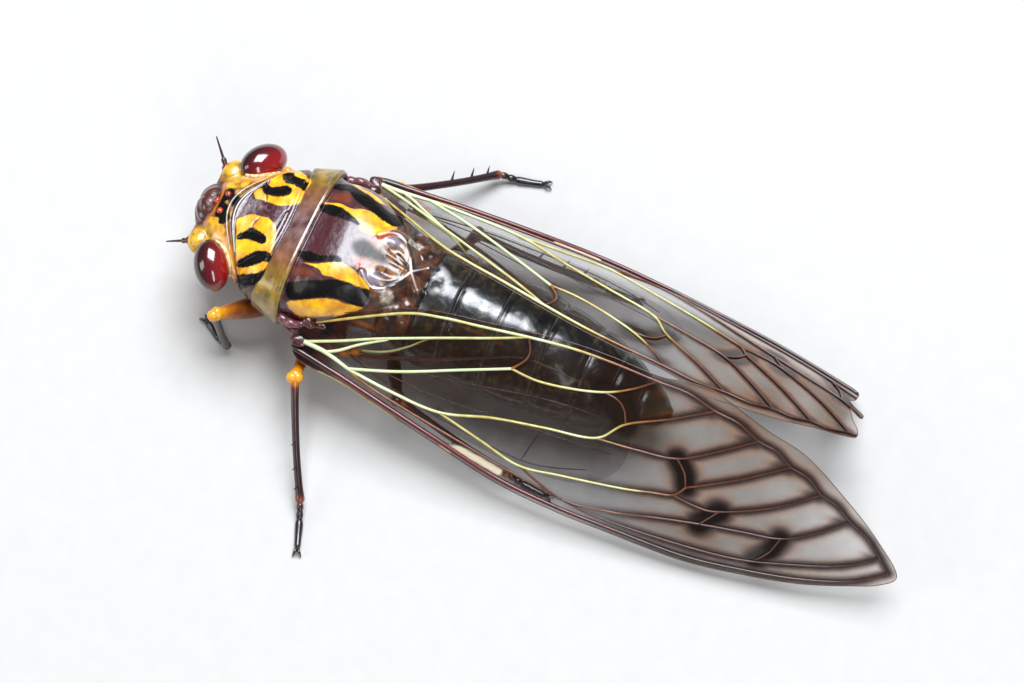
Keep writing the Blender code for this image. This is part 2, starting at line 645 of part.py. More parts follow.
# Legs: for each one the hip that stays in the body, the end of the coxa, the knee,
# the ankle and the tip of the foot.
LEGS = {
    "fore_left": (
        (2.0, -18.8, 3.4), (3.3, -17.6, 2.3), (7.25, -20.75, 5.9), (7.6, -19.9, 0.95), (6.2, -22.4, 0.28),
    ),
    "fore_right": (
        (-2.0, -18.8, 3.4), (-3.3, -17.6, 2.3), (-5.7, -21.0, 4.2), (-6.4, -19.8, 0.95), (-5.6, -22.6, 0.28),
    ),
    "mid_left": (
        (2.0, -13.8, 3.0), (3.7, -14.2, 2.2), (9.1, -13.45, 5.0), (16.5, -9.75, 0.95), (19.8, -8.5, 0.28),
    ),
    "mid_right": (
        (-2.0, -13.8, 3.0), (-3.7, -14.2, 2.2), (-8.0, -12.6, 4.4), (-13.5, -7.0, 0.95), (-14.4, -3.6, 0.28),
    ),
    "hind_left": (
        (2.2, -9.0, 3.0), (3.5, -8.2, 2.0), (7.2, -6.0, 3.9), (8.3, 3.4, 0.95), (8.5, 6.6, 0.28),
    ),
    "hind_right": (
        (-2.2, -9.0, 3.0), (-3.5, -8.2, 2.0), (-7.2, -6.0, 3.9), (-8.3, 3.4, 0.95), (-8.5, 6.6, 0.28),
    ),
}
COXA_RADIUS = 0.8
COXA_END = 0.64
KNEE_RADIUS = 0.5
FEMUR_RADII = {"fore": 0.85, "mid": 0.62, "hind": 0.6}
TIBIA_RADIUS = 0.38
ANKLE_RADIUS = 0.36
TARSUS_RADIUS = 0.29
CLAW_LENGTH = 0.75
CLAW_SPLAY = 0.45
CLAW_RADII = (0.17, 0.14, 0.07)
SPINE_RADII = (0.26, 0.17, 0.06)
# Each spine: how far along its limb, and how far its tip stands from the limb's axis.
FEMUR_SPINES = ((0.3, 1.35), (0.48, 1.4), (0.64, 1.25))
TIBIA_SPURS = ((0.5, 0.85), (0.7, 0.85), (0.86, 0.8))


def rounded(start, end, start_gap, end_radius, radii):
    """Route and radii of a limb that begins at a gap and ends in a round knob."""
    start = Vector(start)
    end = Vector(end)
    way = (end - start).normalized()
    first = start + way * start_gap
    route = [lerp(first, end, i / (len(radii) - 1)) for i in range(len(radii))]
    widths = list(radii)
    for share in (0.5, 0.87, 0.97):
        route.append(end + way * end_radius * share)
        widths.append(end_radius * math.sqrt(1 - share**2))
    return route, widths


def spikes(start, end, lean, rows):
    """Tapered spines along a limb, which stand out from its axis towards the lean."""
    start = Vector(start)
    end = Vector(end)
    way = (end - start).normalized()
    outward = Vector(lean)
    outward = (outward - way * outward.dot(way)).normalized()
    pieces = []
    for share, reach in rows:
        root = lerp(start, end, share)
        tip = root + outward * reach + way * reach * 0.4
        pieces.append(tube("spine", [lerp(root, tip, i / 2) for i in range(3)], SPINE_RADII, 6))
    return pieces


for leg_name, (hip, socket, knee, ankle, foot) in LEGS.items():
    pair, side_name = leg_name.split("_")
    side = 1.0 if side_name == "left" else -1.0
    route, widths = rounded(hip, socket, 0.0, COXA_END, (COXA_RADIUS, COXA_RADIUS, COXA_END))
    coxa = tube("coxa_" + leg_name, route, widths, 10, None, LEG_ORANGE)
    fuse([coxa], [body_clearance()])

    thick = FEMUR_RADII[pair]
    femur_radii = (thick * 0.7, thick, thick * 0.95, KNEE_RADIUS * 0.9, KNEE_RADIUS)
    route, widths = rounded(socket, knee, COXA_END + GAP, KNEE_RADIUS, femur_radii)
    femur = [tube("femur_" + leg_name, route, widths, 10, None, LEG_ORANGE)]
    if pair == "fore":
        femur += spikes(socket, knee, (0.0, 0.0, -1.0), FEMUR_SPINES)
    fuse(femur)

    tibia_radii = (TIBIA_RADIUS, TIBIA_RADIUS * 0.9, TIBIA_RADIUS * 0.9, ANKLE_RADIUS)
    route, widths = rounded(knee, ankle, KNEE_RADIUS + GAP, ANKLE_RADIUS, tibia_radii)
    tibia = [tube("tibia_" + leg_name, route, widths, 8, None, LEG_DARK)]
    if pair == "hind":
        tibia += spikes(knee, ankle, (side, 0.0, 0.3), TIBIA_SPURS)
    fuse(tibia)

    toe = Vector(foot)
    ball = lerp(ankle, foot, 0.45)
    ball.z = toe.z
    start = Vector(ankle) + (ball - Vector(ankle)).normalized() * (ANKLE_RADIUS + GAP)
    route = (start, ball, lerp(ball, toe, 0.5), lerp(ball, toe, 0.85), toe)
    widths = [TARSUS_RADIUS * share for share in (1.0, 1.15, 1.1, 1.1, 0.7)]
    tarsus = [tube("tarsus_" + leg_name, route, widths, 8, 0.0, LEG_DARK)]
    forward = (toe - ball).normalized()
    sideways = Vector((-forward.y, forward.x, 0.0))
    claw_root = lerp(ball, toe, 0.88)
    for turn in (-CLAW_SPLAY, CLAW_SPLAY):
        claw_tip = claw_root + (forward + sideways * turn).normalized() * CLAW_LENGTH
        claw_tip.z = 0.12
        bend = lerp(claw_root, claw_tip, 0.55)
        bend.z = toe.z
        tarsus.append(tube("claw", (claw_root, bend, claw_tip), CLAW_RADII, 6, None, LEG_DARK))
    fuse(tarsus)
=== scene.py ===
import math

import bpy
import numpy as np
from mathutils import Matrix, Vector
from mathutils.geometry import delaunay_2d_cdt


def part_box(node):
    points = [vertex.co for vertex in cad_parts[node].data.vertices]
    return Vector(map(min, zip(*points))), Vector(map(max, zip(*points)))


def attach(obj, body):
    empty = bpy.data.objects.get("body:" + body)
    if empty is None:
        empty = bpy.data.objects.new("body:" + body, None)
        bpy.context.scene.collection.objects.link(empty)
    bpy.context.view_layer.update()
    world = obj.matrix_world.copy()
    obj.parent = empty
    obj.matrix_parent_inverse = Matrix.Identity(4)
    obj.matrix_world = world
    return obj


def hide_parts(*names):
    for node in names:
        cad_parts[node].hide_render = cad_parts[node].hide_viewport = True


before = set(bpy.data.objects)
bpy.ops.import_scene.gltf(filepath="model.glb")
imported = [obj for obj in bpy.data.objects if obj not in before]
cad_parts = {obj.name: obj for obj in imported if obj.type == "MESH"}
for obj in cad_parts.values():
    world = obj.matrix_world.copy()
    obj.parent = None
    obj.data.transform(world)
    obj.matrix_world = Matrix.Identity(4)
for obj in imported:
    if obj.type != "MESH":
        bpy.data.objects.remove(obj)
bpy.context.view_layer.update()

# The studio: a macro lens looks down on the insect's left side from behind, over a pale
# matt floor. A broad soft window of light stands over its right side, with a weaker one in
# front and a long strip behind, and the room is a soft grey-blue.
MM = 0.001
METATHORAX_END = -7.0
metathorax_low, metathorax_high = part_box("metathorax")
BODY_SHIFT = Vector((
    (metathorax_low[0] + metathorax_high[0]) / 2,
    metathorax_high[1] - METATHORAX_END * MM,
    0.0,
))
VIEW_AZIMUTH = math.radians(114.0)
VIEW_ELEVATION = math.radians(69.0)
VIEW_DISTANCE = 300.0 * MM
VIEW_TARGET = BODY_SHIFT + Vector((0.0, 0.0, 5.0)) * MM
PIXEL_AT_TARGET = 0.0738 * MM
FRAME_PIXELS = 1024
SENSOR_WIDTH = 36.0
ROOM_BLUE = (0.78, 0.84, 0.9, 1.0)
ROOM_STRENGTH = 0.22
FLOOR_REACH = 1.5

back = Vector((
    math.sin(VIEW_AZIMUTH) * math.cos(VIEW_ELEVATION),
    -math.cos(VIEW_AZIMUTH) * math.cos(VIEW_ELEVATION),
    math.sin(VIEW_ELEVATION),
))
right = Vector((math.cos(VIEW_AZIMUTH), math.sin(VIEW_AZIMUTH), 0.0))
camera_data = bpy.data.cameras.new("macro_camera")
camera_data.sensor_width = SENSOR_WIDTH
camera_data.lens = VIEW_DISTANCE / PIXEL_AT_TARGET * SENSOR_WIDTH / FRAME_PIXELS
camera_data.clip_start = 0.01
camera = bpy.data.objects.new("macro_camera", camera_data)
turn = Matrix((right, back.cross(right), back)).transposed()
camera.matrix_world = Matrix.Translation(VIEW_TARGET + back * VIEW_DISTANCE) @ turn.to_4x4()
bpy.context.scene.collection.objects.link(camera)
bpy.context.scene.camera = camera

room = bpy.data.worlds.new("studio_room")
room.use_nodes = True
room.node_tree.nodes["Background"].inputs["Color"].default_value = ROOM_BLUE
room.node_tree.nodes["Background"].inputs["Strength"].default_value = ROOM_STRENGTH
bpy.context.scene.world = room
bpy.context.scene.view_settings.view_transform = "Standard"


def softbox(name, direction, distance, width, height, power, colour):
    """A studio light that faces the insect."""
    data = bpy.data.lights.new(name, "AREA")
    data.shape = "RECTANGLE"
    data.size = width
    data.size_y = height
    data.energy = power
    data.color = colour
    light = bpy.data.objects.new(name, data)
    place = Vector(direction).normalized()
    light.location = VIEW_TARGET + place * distance
    light.rotation_euler = place.to_track_quat("Z", "Y").to_euler()
    bpy.context.scene.collection.objects.link(light)


softbox("window_light", (-0.36, -0.06, 0.93), 0.5, 0.34, 0.34, 5.2, (0.88, 0.93, 1.0))
softbox("front_light", (0.55, -0.75, 0.55), 0.6, 0.2, 0.3, 0.8, (1.0, 0.97, 0.93))
softbox("strip_light", (0.75, 0.6, 0.75), 0.6, 0.08, 0.4, 1.0, (0.95, 0.97, 1.0))

floor_mesh = bpy.data.meshes.new("floor")
corners = [(-FLOOR_REACH, -FLOOR_REACH, 0), (FLOOR_REACH, -FLOOR_REACH, 0)]
corners += [(FLOOR_REACH, FLOOR_REACH, 0), (-FLOOR_REACH, FLOOR_REACH, 0)]
floor_mesh.from_pydata(corners, [], [(0, 1, 2, 3)])
floor = bpy.data.objects.new("floor", floor_mesh)
bpy.context.scene.collection.objects.link(floor)


def linear(colour):
    """An sRGB hex colour as the linear values that a shader takes."""
    values = [int(colour[i:i + 2], 16) / 255 for i in (1, 3, 5)]
    return tuple(v / 12.92 if v <= 0.04045 else ((v + 0.055) / 1.055) ** 2.4 for v in values) + (1.0,)


def add(material, kind, settings, links=None):
    """A node with its settings or colour stops, and its inputs linked to other nodes' outputs."""
    made = material.node_tree.nodes.new(kind)
    for name, value in settings.items():
        if name == "stops":
            for _ in value[2:]:
                made.color_ramp.elements.new(0.5)
            for stop, (position, colour) in zip(made.color_ramp.elements, value):
                stop.position = position
                stop.color = linear(colour)
        elif isinstance(name, str) and hasattr(made, name):
            setattr(made, name, value)
        else:
            made.inputs[name].default_value = value
    for name, source in (links or {}).items():
        material.node_tree.links.new(made.inputs[name], source)
    return made


def new_material(name, settings):
    """A material with a Principled shader that has the given settings."""
    material = bpy.data.materials.new(name)
    material.use_nodes = True
    shader = material.node_tree.nodes["Principled BSDF"]
    for key, value in settings.items():
        shader.inputs[key].default_value = value
    return material, shader


def feed(shader, name, source):
    """Link an output to the named input of a material's shader."""
    shader.id_data.links.new(shader.inputs[name], source)


# Matt white paint on the floor: even, with a faint grain that keeps it from looking empty.
floor_paint, floor_shader = new_material("matt_white_paint", {"Roughness": 0.85})
PAINT_GRAIN = 1.5 * MM
floor_place = add(floor_paint, "ShaderNodeTexCoord", {})
floor_grain = add(
    floor_paint, "ShaderNodeTexNoise", {"Scale": 1 / PAINT_GRAIN, "Detail": 3.0},
    {"Vector": floor_place.outputs["Object"]},
)
floor_tone = add(
    floor_paint, "ShaderNodeMixRGB", {"Color1": linear("#b9b6b2"), "Color2": linear("#c0bdb9")},
    {"Fac": floor_grain.outputs["Fac"]},
)
feed(floor_shader, "Base Color", floor_tone.outputs["Color"])
floor_mesh.materials.append(floor_paint)

# The body skin: head capsule, thorax and abdomen are one hard shell of cuticle, wet and
# glossy, jointed by pinched grooves. It is one closed surface through the same
# cross-sections as the solids, with the plates, collar, cross and rings raised in it.
BODY = np.array((
    (-24.7, 1.7, 8.0, 6.6, 4.4, 2.0, 2.0),
    (-23.8, 2.8, 8.8, 6.8, 3.7, 2.2, 1.8),
    (-22.8, 3.4, 9.2, 7.0, 3.2, 2.3, 1.7),
    (-21.6, 3.9, 9.3, 7.0, 2.9, 2.4, 1.7),
    (-20.4, 4.6, 9.45, 6.9, 2.8, 2.4, 1.7),
    (-19.2, 5.3, 9.8, 6.9, 2.5, 2.6, 1.7),
    (-18.0, 5.7, 10.0, 6.9, 2.3, 2.7, 1.7),
    (-17.0, 6.0, 10.4, 6.9, 2.2, 2.7, 1.7),
    (-16.2, 6.1, 10.75, 6.9, 2.1, 2.7, 1.7),
    (-15.8, 5.65, 10.6, 6.9, 2.1, 2.6, 1.8),
    (-14.6, 5.7, 11.0, 6.9, 1.9, 2.6, 1.8),
    (-13.2, 5.6, 11.2, 6.9, 1.8, 2.6, 1.8),
    (-11.6, 5.0, 11.1, 6.8, 1.8, 2.4, 1.8),
    (-9.9, 4.55, 10.55, 6.4, 1.8, 2.3, 1.8),
    (-9.3, 4.5, 9.5, 6.2, 1.8, 2.2, 1.8),
    (-8.0, 4.6, 9.35, 5.9, 1.7, 2.0, 1.8),
    (-6.7, 4.5, 9.55, 5.6, 1.8, 1.75, 1.9),
    (-4.5, 4.7, 9.8, 5.4, 1.5, 1.7, 1.9),
    (-1.0, 4.65, 9.6, 5.3, 1.2, 1.7, 1.9),
    (1.4, 4.5, 9.2, 5.0, 1.1, 1.7, 1.9),
    (4.2, 4.1, 8.5, 4.7, 1.0, 1.75, 1.9),
    (7.5, 3.4, 7.2, 4.2, 1.0, 1.85, 1.9),
    (10.0, 2.3, 5.7, 3.7, 1.2, 2.0, 2.0),
    (12.2, 1.0, 4.2, 3.4, 2.3, 2.0, 2.0),
    (12.9, 0.4, 3.8, 3.4, 3.0, 2.0, 2.0),
))
SIDES = (("left", 1.0), ("right", -1.0))
SKIN_COLUMNS = 400
FRONT_ROWS = 390
REAR_ROWS = 200
NOSE = -25.36
TAIL = 12.9
ROWS_MEET = (-6.62, -6.55)
NOSE_FROM = -24.7
NOSE_ROUND = 0.66
HEAD_END = -20.2
FACE_RIB = 0.62
CLYPEUS = ((0.0, -23.6, 5.95), (2.3, 1.65, 3.05), (0.0, -0.35, 1.0))
FEELER_PLATE = ((2.9, -23.9, 7.5), (1.1, 0.9, 0.75), (0.0, 0.0, 1.0))
EYE_RIM = ((3.65, -21.85, 7.3), (1.0, 0.85, 1.35), (0.0, 0.0, 1.0))
EYE = ((4.5, -22.2, 7.8), (1.3, 1.35, 1.95), (0.8, 0.5, -0.3))
HEAD_SEAM = -22.45
HEAD_BOW = 2.4
COLLAR_FRONT = -17.85
COLLAR_BOW = 0.75
COLLAR_STEP = 0.18
COLLAR_REAR = -16.2
SCUTELLUM = ((0.0, -10.0, 10.35), (2.35, 1.85, 0.5))
CROSS_FRONT = (
    (1.55, -11.3, 10.95), (2.0, -10.8, 10.77), (2.27, -10.15, 10.52), (2.05, -9.5, 10.42),
    (1.5, -9.05, 10.4), (0.8, -8.5, 10.42), (0.0, -8.05, 10.45),
)
# Width of the painted glint along the arms of the cross.
CROSS_GLINT_WIDTH = 0.09
ARM_WIDTH = 0.05
PLATE_BLEND = 0.25
CROSS_REAR = ((0.95, -7.15, 9.95), (-0.95, -7.15, 9.95))
PLATE_OUTLINE = (
    (1.55, -11.3), (2.0, -10.8), (2.27, -10.15), (2.05, -9.5), (1.5, -9.05), (0.8, -8.5), (0.0, -8.1),
    (-0.8, -8.5), (-1.5, -9.05), (-2.05, -9.5), (-2.27, -10.15), (-2.0, -10.8), (-1.55, -11.3),
    (-0.8, -12.0), (0.8, -12.0),
)
LOBE_SPOT = (1.62, -10.35)
LOBE_SIZE = (0.42, 0.78)
LOBE_RISE = 0.2
FOLD_POINT = (0.0, -7.7)
FOLD_COUNT = 17
FOLD_RISE = 0.028
SEARCH_MARGIN = 1.0
FAR = 9.0
SIDE_REACH = -0.5
SHIELD_REAR = -9.15
HIND_THORAX_FROM = -10.4
ABDOMEN_FROM = -6.9
ABDOMEN_FRONT = -6.85
RING_ENDS = (-4.3, -0.8, 2.9, 6.0, 8.4, 10.5)
RING_SWELL = 0.14


def profile(places):
    """Half width, top, widest level, bottom and the squareness above and below at each place."""
    last = len(BODY) - 1
    i = np.clip(np.searchsorted(BODY[:, 0], places, side="right") - 1, 0, last - 1)
    before = BODY[np.maximum(i - 1, 0)]
    start = BODY[i]
    end = BODY[i + 1]
    after = BODY[np.minimum(i + 2, last)]
    span = end[:, :1] - start[:, :1]
    t = np.clip((np.asarray(places)[:, None] - start[:, :1]) / span, 0.0, 1.0)
    slope_in = (end - before) / (end[:, :1] - before[:, :1])
    slope_out = (after - start) / (after[:, :1] - start[:, :1])
    level = (2 * t**3 - 3 * t**2 + 1) * start + (3 * t**2 - 2 * t**3) * end
    lean = (t**3 - 2 * t**2 + t) * slope_in + (t**3 - t**2) * slope_out
    return (level + lean * span)[:, 1:]


def rise(x, start, end):
    """A smooth change from 0 at the start to 1 at the end."""
    t = np.clip((x - start) / (end - start), 0.0, 1.0)
    return t * t * (3 - 2 * t)


def ridge(distance, width):
    """A round ridge of height 1 about a line."""
    return np.exp(-((distance / width) ** 2))


def higher(a, b, blend):
    """The greater of two surfaces, blended where they meet."""
    return 0.5 * (a + b + np.sqrt((a - b) ** 2 + blend**2)) - 0.5 * blend * np.exp(-np.abs(a - b) / blend)


def upright(axis):
    """The turn that lays the z axis along the given axis."""
    return np.array(Vector((0, 0, 1)).rotation_difference(Vector(axis)).to_matrix())


def reach_of(ball, x, y, z, middle):
    """How far from the axis of the body each ray leaves a ball, or 0 where it misses."""
    centre, radii, axis = ball
    inward = upright(axis).T / np.array(radii)[:, None]
    length = np.maximum(np.hypot(x, z - middle), 1e-6)
    start = np.stack([np.zeros_like(x), y, middle], -1) - np.array(centre)
    way = np.stack([x / length, np.zeros_like(x), (z - middle) / length], -1)
    start = start @ inward.T
    way = way @ inward.T
    a = (way * way).sum(-1)
    b = (start * way).sum(-1)
    c = (start * start).sum(-1) - 1
    under = b * b - a * c
    return np.where(under > 0, (np.sqrt(np.maximum(under, 0)) - b) / a, 0.0)


def sided(ball, side):
    """The ball on the insect's left for 1, or its right for -1."""
    centre, radii, axis = ball
    return (centre[0] * side, centre[1], centre[2]), radii, (axis[0] * side, axis[1], axis[2])


def nearness(ball, points):
    """1 on the surface of a ball, and more outside it."""
    centre, radii, axis = ball
    inward = upright(axis).T / np.array(radii)[:, None]
    return np.linalg.norm((points - np.array(centre)) @ inward.T, axis=-1)


def line_distance(line, x, y):
    """Distance from each point to a line seen from above, and how far along it lies, 0 to 1."""
    line = np.array(line, float)[:, :2]
    runs = np.linalg.norm(np.diff(line, axis=0), axis=1)
    total = runs.sum()
    least = np.full(np.shape(x), 1e9)
    share = np.zeros(np.shape(x))
    gone = 0.0
    for start, end, run in zip(line, line[1:], runs):
        dx, dy = (end - start) / run
        t = np.clip((x - start[0]) * dx + (y - start[1]) * dy, 0.0, run)
        away = np.hypot(x - start[0] - t * dx, y - start[1] - t * dy)
        nearer = away < least
        least = np.where(nearer, away, least)
        share = np.where(nearer, (gone + t) / total, share)
        gone += run
    return least, share


def smooth_path(knots, step):
    """Points about every step on a smooth line through the knots, with each one's place."""
    knots = np.array(knots, float)
    line = []
    for i in range(len(knots) - 1):
        before = knots[max(i - 1, 0)]
        start = knots[i]
        end = knots[i + 1]
        after = knots[min(i + 2, len(knots) - 1)]
        parts = max(1, round(float(np.linalg.norm((end - start)[:3])) / step))
        for part in range(parts):
            t = part / parts
            level = (2 * t**3 - 3 * t**2 + 1) * start + (3 * t**2 - 2 * t**3) * end
            lean = (t**3 - 2 * t**2 + t) * (end - before) + (t**3 - t**2) * (after - start)
            line.append(level + lean * 0.5)
    line.append(knots[-1])
    return np.array(line)


def smooth_loop(outline, parts=5):
    """A smooth closed line through the outline's points."""
    points = np.array(outline, float)
    before, after = np.roll(points, 1, 0), np.roll(points, -1, 0)
    beyond = np.roll(points, -2, 0)
    line = []
    for i in range(len(points)):
        for part in range(parts):
            t = part / parts
            level = (2 * t**3 - 3 * t**2 + 1) * points[i] + (3 * t**2 - 2 * t**3) * after[i]
            lean = (t**3 - 2 * t**2 + t) * (after[i] - before[i]) + (t**3 - t**2) * (beyond[i] - points[i])
            line.append(level + lean * 0.5)
    return np.array(line)


def inside_by_loop(loop, x, y):
    """How far inside a closed line each point lies, negative outside."""
    closed = np.vstack([loop, loop[:1]])
    away, _ = line_distance(closed, x, y)
    odd = np.zeros(x.shape, bool)
    for a, b in zip(closed, closed[1:]):
        if a[1] != b[1]:
            spans = (a[1] > y) != (b[1] > y)
            odd ^= spans & (x < a[0] + (b[0] - a[0]) * (y - a[1]) / (b[1] - a[1]))
    return np.where(odd, away, -away)


def inside_by(outline, x, y):
    """How many millimetres each point lies inside a smooth closed outline, negative outside."""
    loop = smooth_loop(outline)
    depth = np.full(np.shape(x), -1.0)
    low = loop.min(0) - SEARCH_MARGIN
    high = loop.max(0) + SEARCH_MARGIN
    near = (x > low[0]) & (x < high[0]) & (y > low[1]) & (y < high[1])
    depth[near] = inside_by_loop(loop, x[near], y[near])
    return np.maximum(depth, -1.0)


def mirrored(outline):
    """The same outline on the insect's right side."""
    return [(-x, y) for x, y in outline]


# Outlines of the markings on the back, seen from above, left first where the sides differ.
GOLD_OUTLINES = [
    ((1.0, -21.7), (0.6, -21.4), (0.2, -20.9), (0.1, -20.2), (0.1, -19.4), (0.6, -18.7), (1.5, -18.3),
     (2.7, -18.1), (3.5, -18.1), (4.7, -18.3), (5.0, -19.3), (4.6, -19.9), (3.3, -20.7), (2.2, -21.2)),
    ((-1.5, -21.5), (-2.0, -21.3), (-2.3, -20.9), (-3.2, -20.8), (-4.2, -20.3), (-4.7, -19.8),
     (-4.4, -18.7), (-3.9, -17.9), (-3.4, -17.8), (-2.7, -17.9), (-1.8, -18.0), (-1.3, -18.7),
     (-1.1, -19.6), (-1.2, -20.4), (-1.1, -21.1)),
    ((2.5, -16.0), (2.3, -14.6), (1.7, -13.3), (1.6, -12.2), (2.0, -11.1), (2.4, -10.3), (2.7, -10.5),
     (2.9, -11.5), (2.8, -12.9), (2.9, -13.8), (2.6, -14.3), (2.5, -15.5)),
    ((-2.5, -16.1), (-2.8, -15.3), (-2.7, -14.1), (-3.1, -12.8), (-3.2, -10.9), (-2.8, -10.5),
     (-1.7, -11.0), (-1.3, -12.0), (-1.3, -12.7), (-1.9, -13.4), (-2.4, -14.8), (-2.4, -15.9)),
    ((5.2, -15.7), (4.8, -14.4), (4.1, -12.5), (3.9, -11.5), (3.6, -10.3), (4.2, -11.0), (5.1, -12.6),
     (5.6, -14.1), (5.5, -15.2)),
    ((-5.3, -15.3), (-5.0, -14.2), (-4.7, -12.9), (-4.4, -12.0), (-4.2, -12.8), (-4.4, -14.2)),
]
BLACK_OUTLINES = [
    ((2.1, -21.0), (1.6, -20.5), (1.3, -20.4), (1.4, -19.9), (1.6, -19.3), (1.9, -19.1), (1.9, -19.8),
     (1.9, -20.5)),
    ((3.8, -20.2), (3.4, -19.8), (3.0, -19.3), (2.8, -18.9), (2.7, -18.4), (3.0, -18.1), (3.1, -18.5),
     (3.4, -18.8), (3.8, -19.5), (3.9, -20.0)),
    ((4.7, -20.0), (5.0, -19.3), (4.7, -18.5), (4.3, -18.1), (3.9, -18.0), (4.3, -18.4), (4.6, -19.2)),
    ((-2.4, -21.0), (-2.3, -20.6), (-2.4, -20.1), (-2.7, -19.5), (-2.6, -19.1), (-2.3, -19.1),
     (-2.0, -19.6), (-1.9, -20.3), (-1.9, -20.7)),
    ((-3.9, -20.1), (-4.1, -19.7), (-3.8, -19.3), (-3.7, -18.5), (-3.5, -18.1), (-3.2, -18.2),
     (-3.3, -18.9), (-3.4, -19.7)),
    ((1.9, -16.1), (1.6, -15.5), (1.7, -14.6), (1.3, -13.4), (1.5, -13.0), (1.8, -13.8), (2.2, -15.0),
     (2.2, -15.7)),
    ((-2.0, -16.2), (-2.5, -15.6), (-2.3, -14.3), (-1.7, -13.0), (-1.7, -13.6), (-1.7, -14.8),
     (-1.8, -15.9)),
    ((4.2, -15.9), (3.8, -15.1), (3.3, -13.6), (2.8, -12.4), (2.7, -11.3), (2.6, -10.5), (2.8, -10.2),
     (3.5, -10.4), (3.7, -11.1), (3.8, -12.0), (4.2, -13.2), (4.8, -14.7), (4.9, -15.7)),
    ((-4.0, -16.0), (-4.6, -15.8), (-4.9, -15.2), (-4.6, -14.3), (-4.2, -12.8), (-3.8, -11.5),
     (-4.2, -10.8), (-3.4, -10.4), (-2.9, -10.9), (-3.1, -12.3), (-3.5, -13.9), (-4.2, -15.0)),
    ((0.35, -23.8), (-0.1, -24.1), (-0.45, -23.75), (-0.8, -23.45), (-1.1, -23.2), (-0.85, -22.95),
     (-0.5, -23.05), (-0.1, -23.35), (0.3, -23.45)),
    ((1.0, -23.3), (1.05, -23.0), (0.6, -22.85), (0.3, -22.95), (0.5, -23.2)),
    ((-0.3, -22.75), (-0.7, -22.6), (-0.6, -22.4), (-0.2, -22.55)),
    ((1.5, -22.75), (1.3, -22.5), (1.0, -22.55), (1.2, -22.8)),
]
SMUDGE_OUTLINES = [
    ((-0.15, -12.7), (-0.7, -12.1), (-0.55, -11.2), (-0.3, -10.2), (0.15, -9.9), (0.38, -10.5),
     (0.45, -11.2), (0.6, -11.9), (0.3, -12.5)),
]
# Dull red patches at the front of the shield behind the gold.
BLUSH_OUTLINES = [
    ((0.9, -12.1), (0.55, -11.3), (0.95, -11.1), (1.3, -11.6)),
    ((-1.0, -11.9), (-1.7, -11.1), (-2.2, -10.7), (-2.2, -10.4), (-1.2, -11.1)),
]
# Fine cracks between the swellings of the collar plate, as lines.
FISSURES = (
    ((2.07, -21.05), (1.75, -20.7), (1.6, -20.4)), ((1.3, -20.4), (0.8, -20.4), (0.2, -20.2)),
    ((-1.9, -20.65), (-2.4, -20.95), (-3.1, -20.97)), ((-1.85, -20.6), (-1.5, -20.4), (-1.15, -20.3)),
    ((0.45, -18.72), (-0.1, -18.66), (-0.75, -18.6), (-1.2, -18.38)),
)
FISSURE_WIDTH = 0.06
RUST_OUTLINES = [
    ((2.9, -16.1), (2.6, -15.4), (2.8, -14.3), (3.2, -14.0), (3.5, -15.1), (3.7, -16.0)),
    ((-3.0, -16.1), (-3.7, -15.9), (-4.2, -15.0), (-3.9, -14.4), (-3.0, -14.2), (-2.8, -15.3)),
]
# Patches along the top of the abdomen: a painted reflection of the light on the glossy black rings, mixed
# with a real silvery bloom.
SHEEN_AND_BLOOM_OUTLINES = [
    ((-1.9, -6.6), (-1.0, -6.7), (0.1, -6.5), (0.6, -6.0), (0.4, -5.3), (-0.3, -5.1), (-1.2, -5.6)),
    ((-0.7, -4.0), (0.1, -3.9), (0.5, -3.0), (0.4, -2.0), (0.0, -1.7), (-0.4, -2.4), (-0.7, -3.2)),
    ((-0.2, -1.6), (0.3, -1.5), (0.5, -0.7), (0.2, -0.2), (-0.2, -0.8)),
    ((-0.6, 0.2), (0.0, 0.3), (0.3, 1.1), (0.1, 1.8), (-0.4, 1.2)),
    ((-0.4, 3.0), (0.0, 3.5), (-0.1, 4.5), (-0.4, 4.2)),
]
WAX_OUTLINES = [
    ((1.9, -9.1), (1.9, -8.6), (2.4, -8.45), (2.8, -9.0), (2.55, -9.4)),
    ((-2.35, -9.2), (-3.0, -8.85), (-2.9, -8.4), (-2.4, -8.5), (-2.0, -8.9)),
]
YELLOW_PLATE = (
    (1.5, -24.3), (2.3, -24.9), (3.5, -24.8), (4.1, -24.0), (3.7, -23.3), (2.9, -22.7), (2.1, -22.2),
    (1.5, -22.7), (1.3, -23.5),
)


def union_of(outlines, x, y):
    """How far inside any of the outlines each point lies."""
    depth = np.full(np.shape(x), -1.0)
    for outline in outlines:
        depth = np.maximum(depth, inside_by(outline, x, y))
    return depth


def shaped(name, points, quads, triangles, material):
    """A smooth-shaded object from points in the insect's own millimetres."""
    mesh = bpy.data.meshes.new(name)
    placed = np.asarray(points, float).reshape(-1, 3) * MM + np.array(BODY_SHIFT)
    quads = np.asarray(quads, np.int32).reshape(-1, 4)
    triangles = np.asarray(triangles, np.int32).reshape(-1, 3)
    halves = np.vstack([triangles, quads[:, :3], quads[:, [0, 2, 3]]])
    a, b, c = (placed[halves[:, i]] - placed.mean(0) for i in range(3))
    if (a * np.cross(b, c)).sum() < 0:
        quads = quads[:, ::-1]
        triangles = triangles[:, ::-1]
    mesh.vertices.add(len(placed))
    mesh.vertices.foreach_set("co", placed.astype(np.float32).ravel())
    mesh.loops.add(quads.size + triangles.size)
    mesh.loops.foreach_set("vertex_index", np.concatenate([quads.ravel(), triangles.ravel()]))
    starts = np.concatenate([np.arange(len(quads)) * 4, quads.size + np.arange(len(triangles)) * 3])
    mesh.polygons.add(len(starts))
    mesh.polygons.foreach_set("loop_start", starts.astype(np.int32))
    mesh.update(calc_edges=True)
    mesh.shade_smooth()
    mesh.materials.append(material)
    thing = bpy.data.objects.new(name, mesh)
    bpy.context.scene.collection.objects.link(thing)
    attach(thing, "root")
    return thing


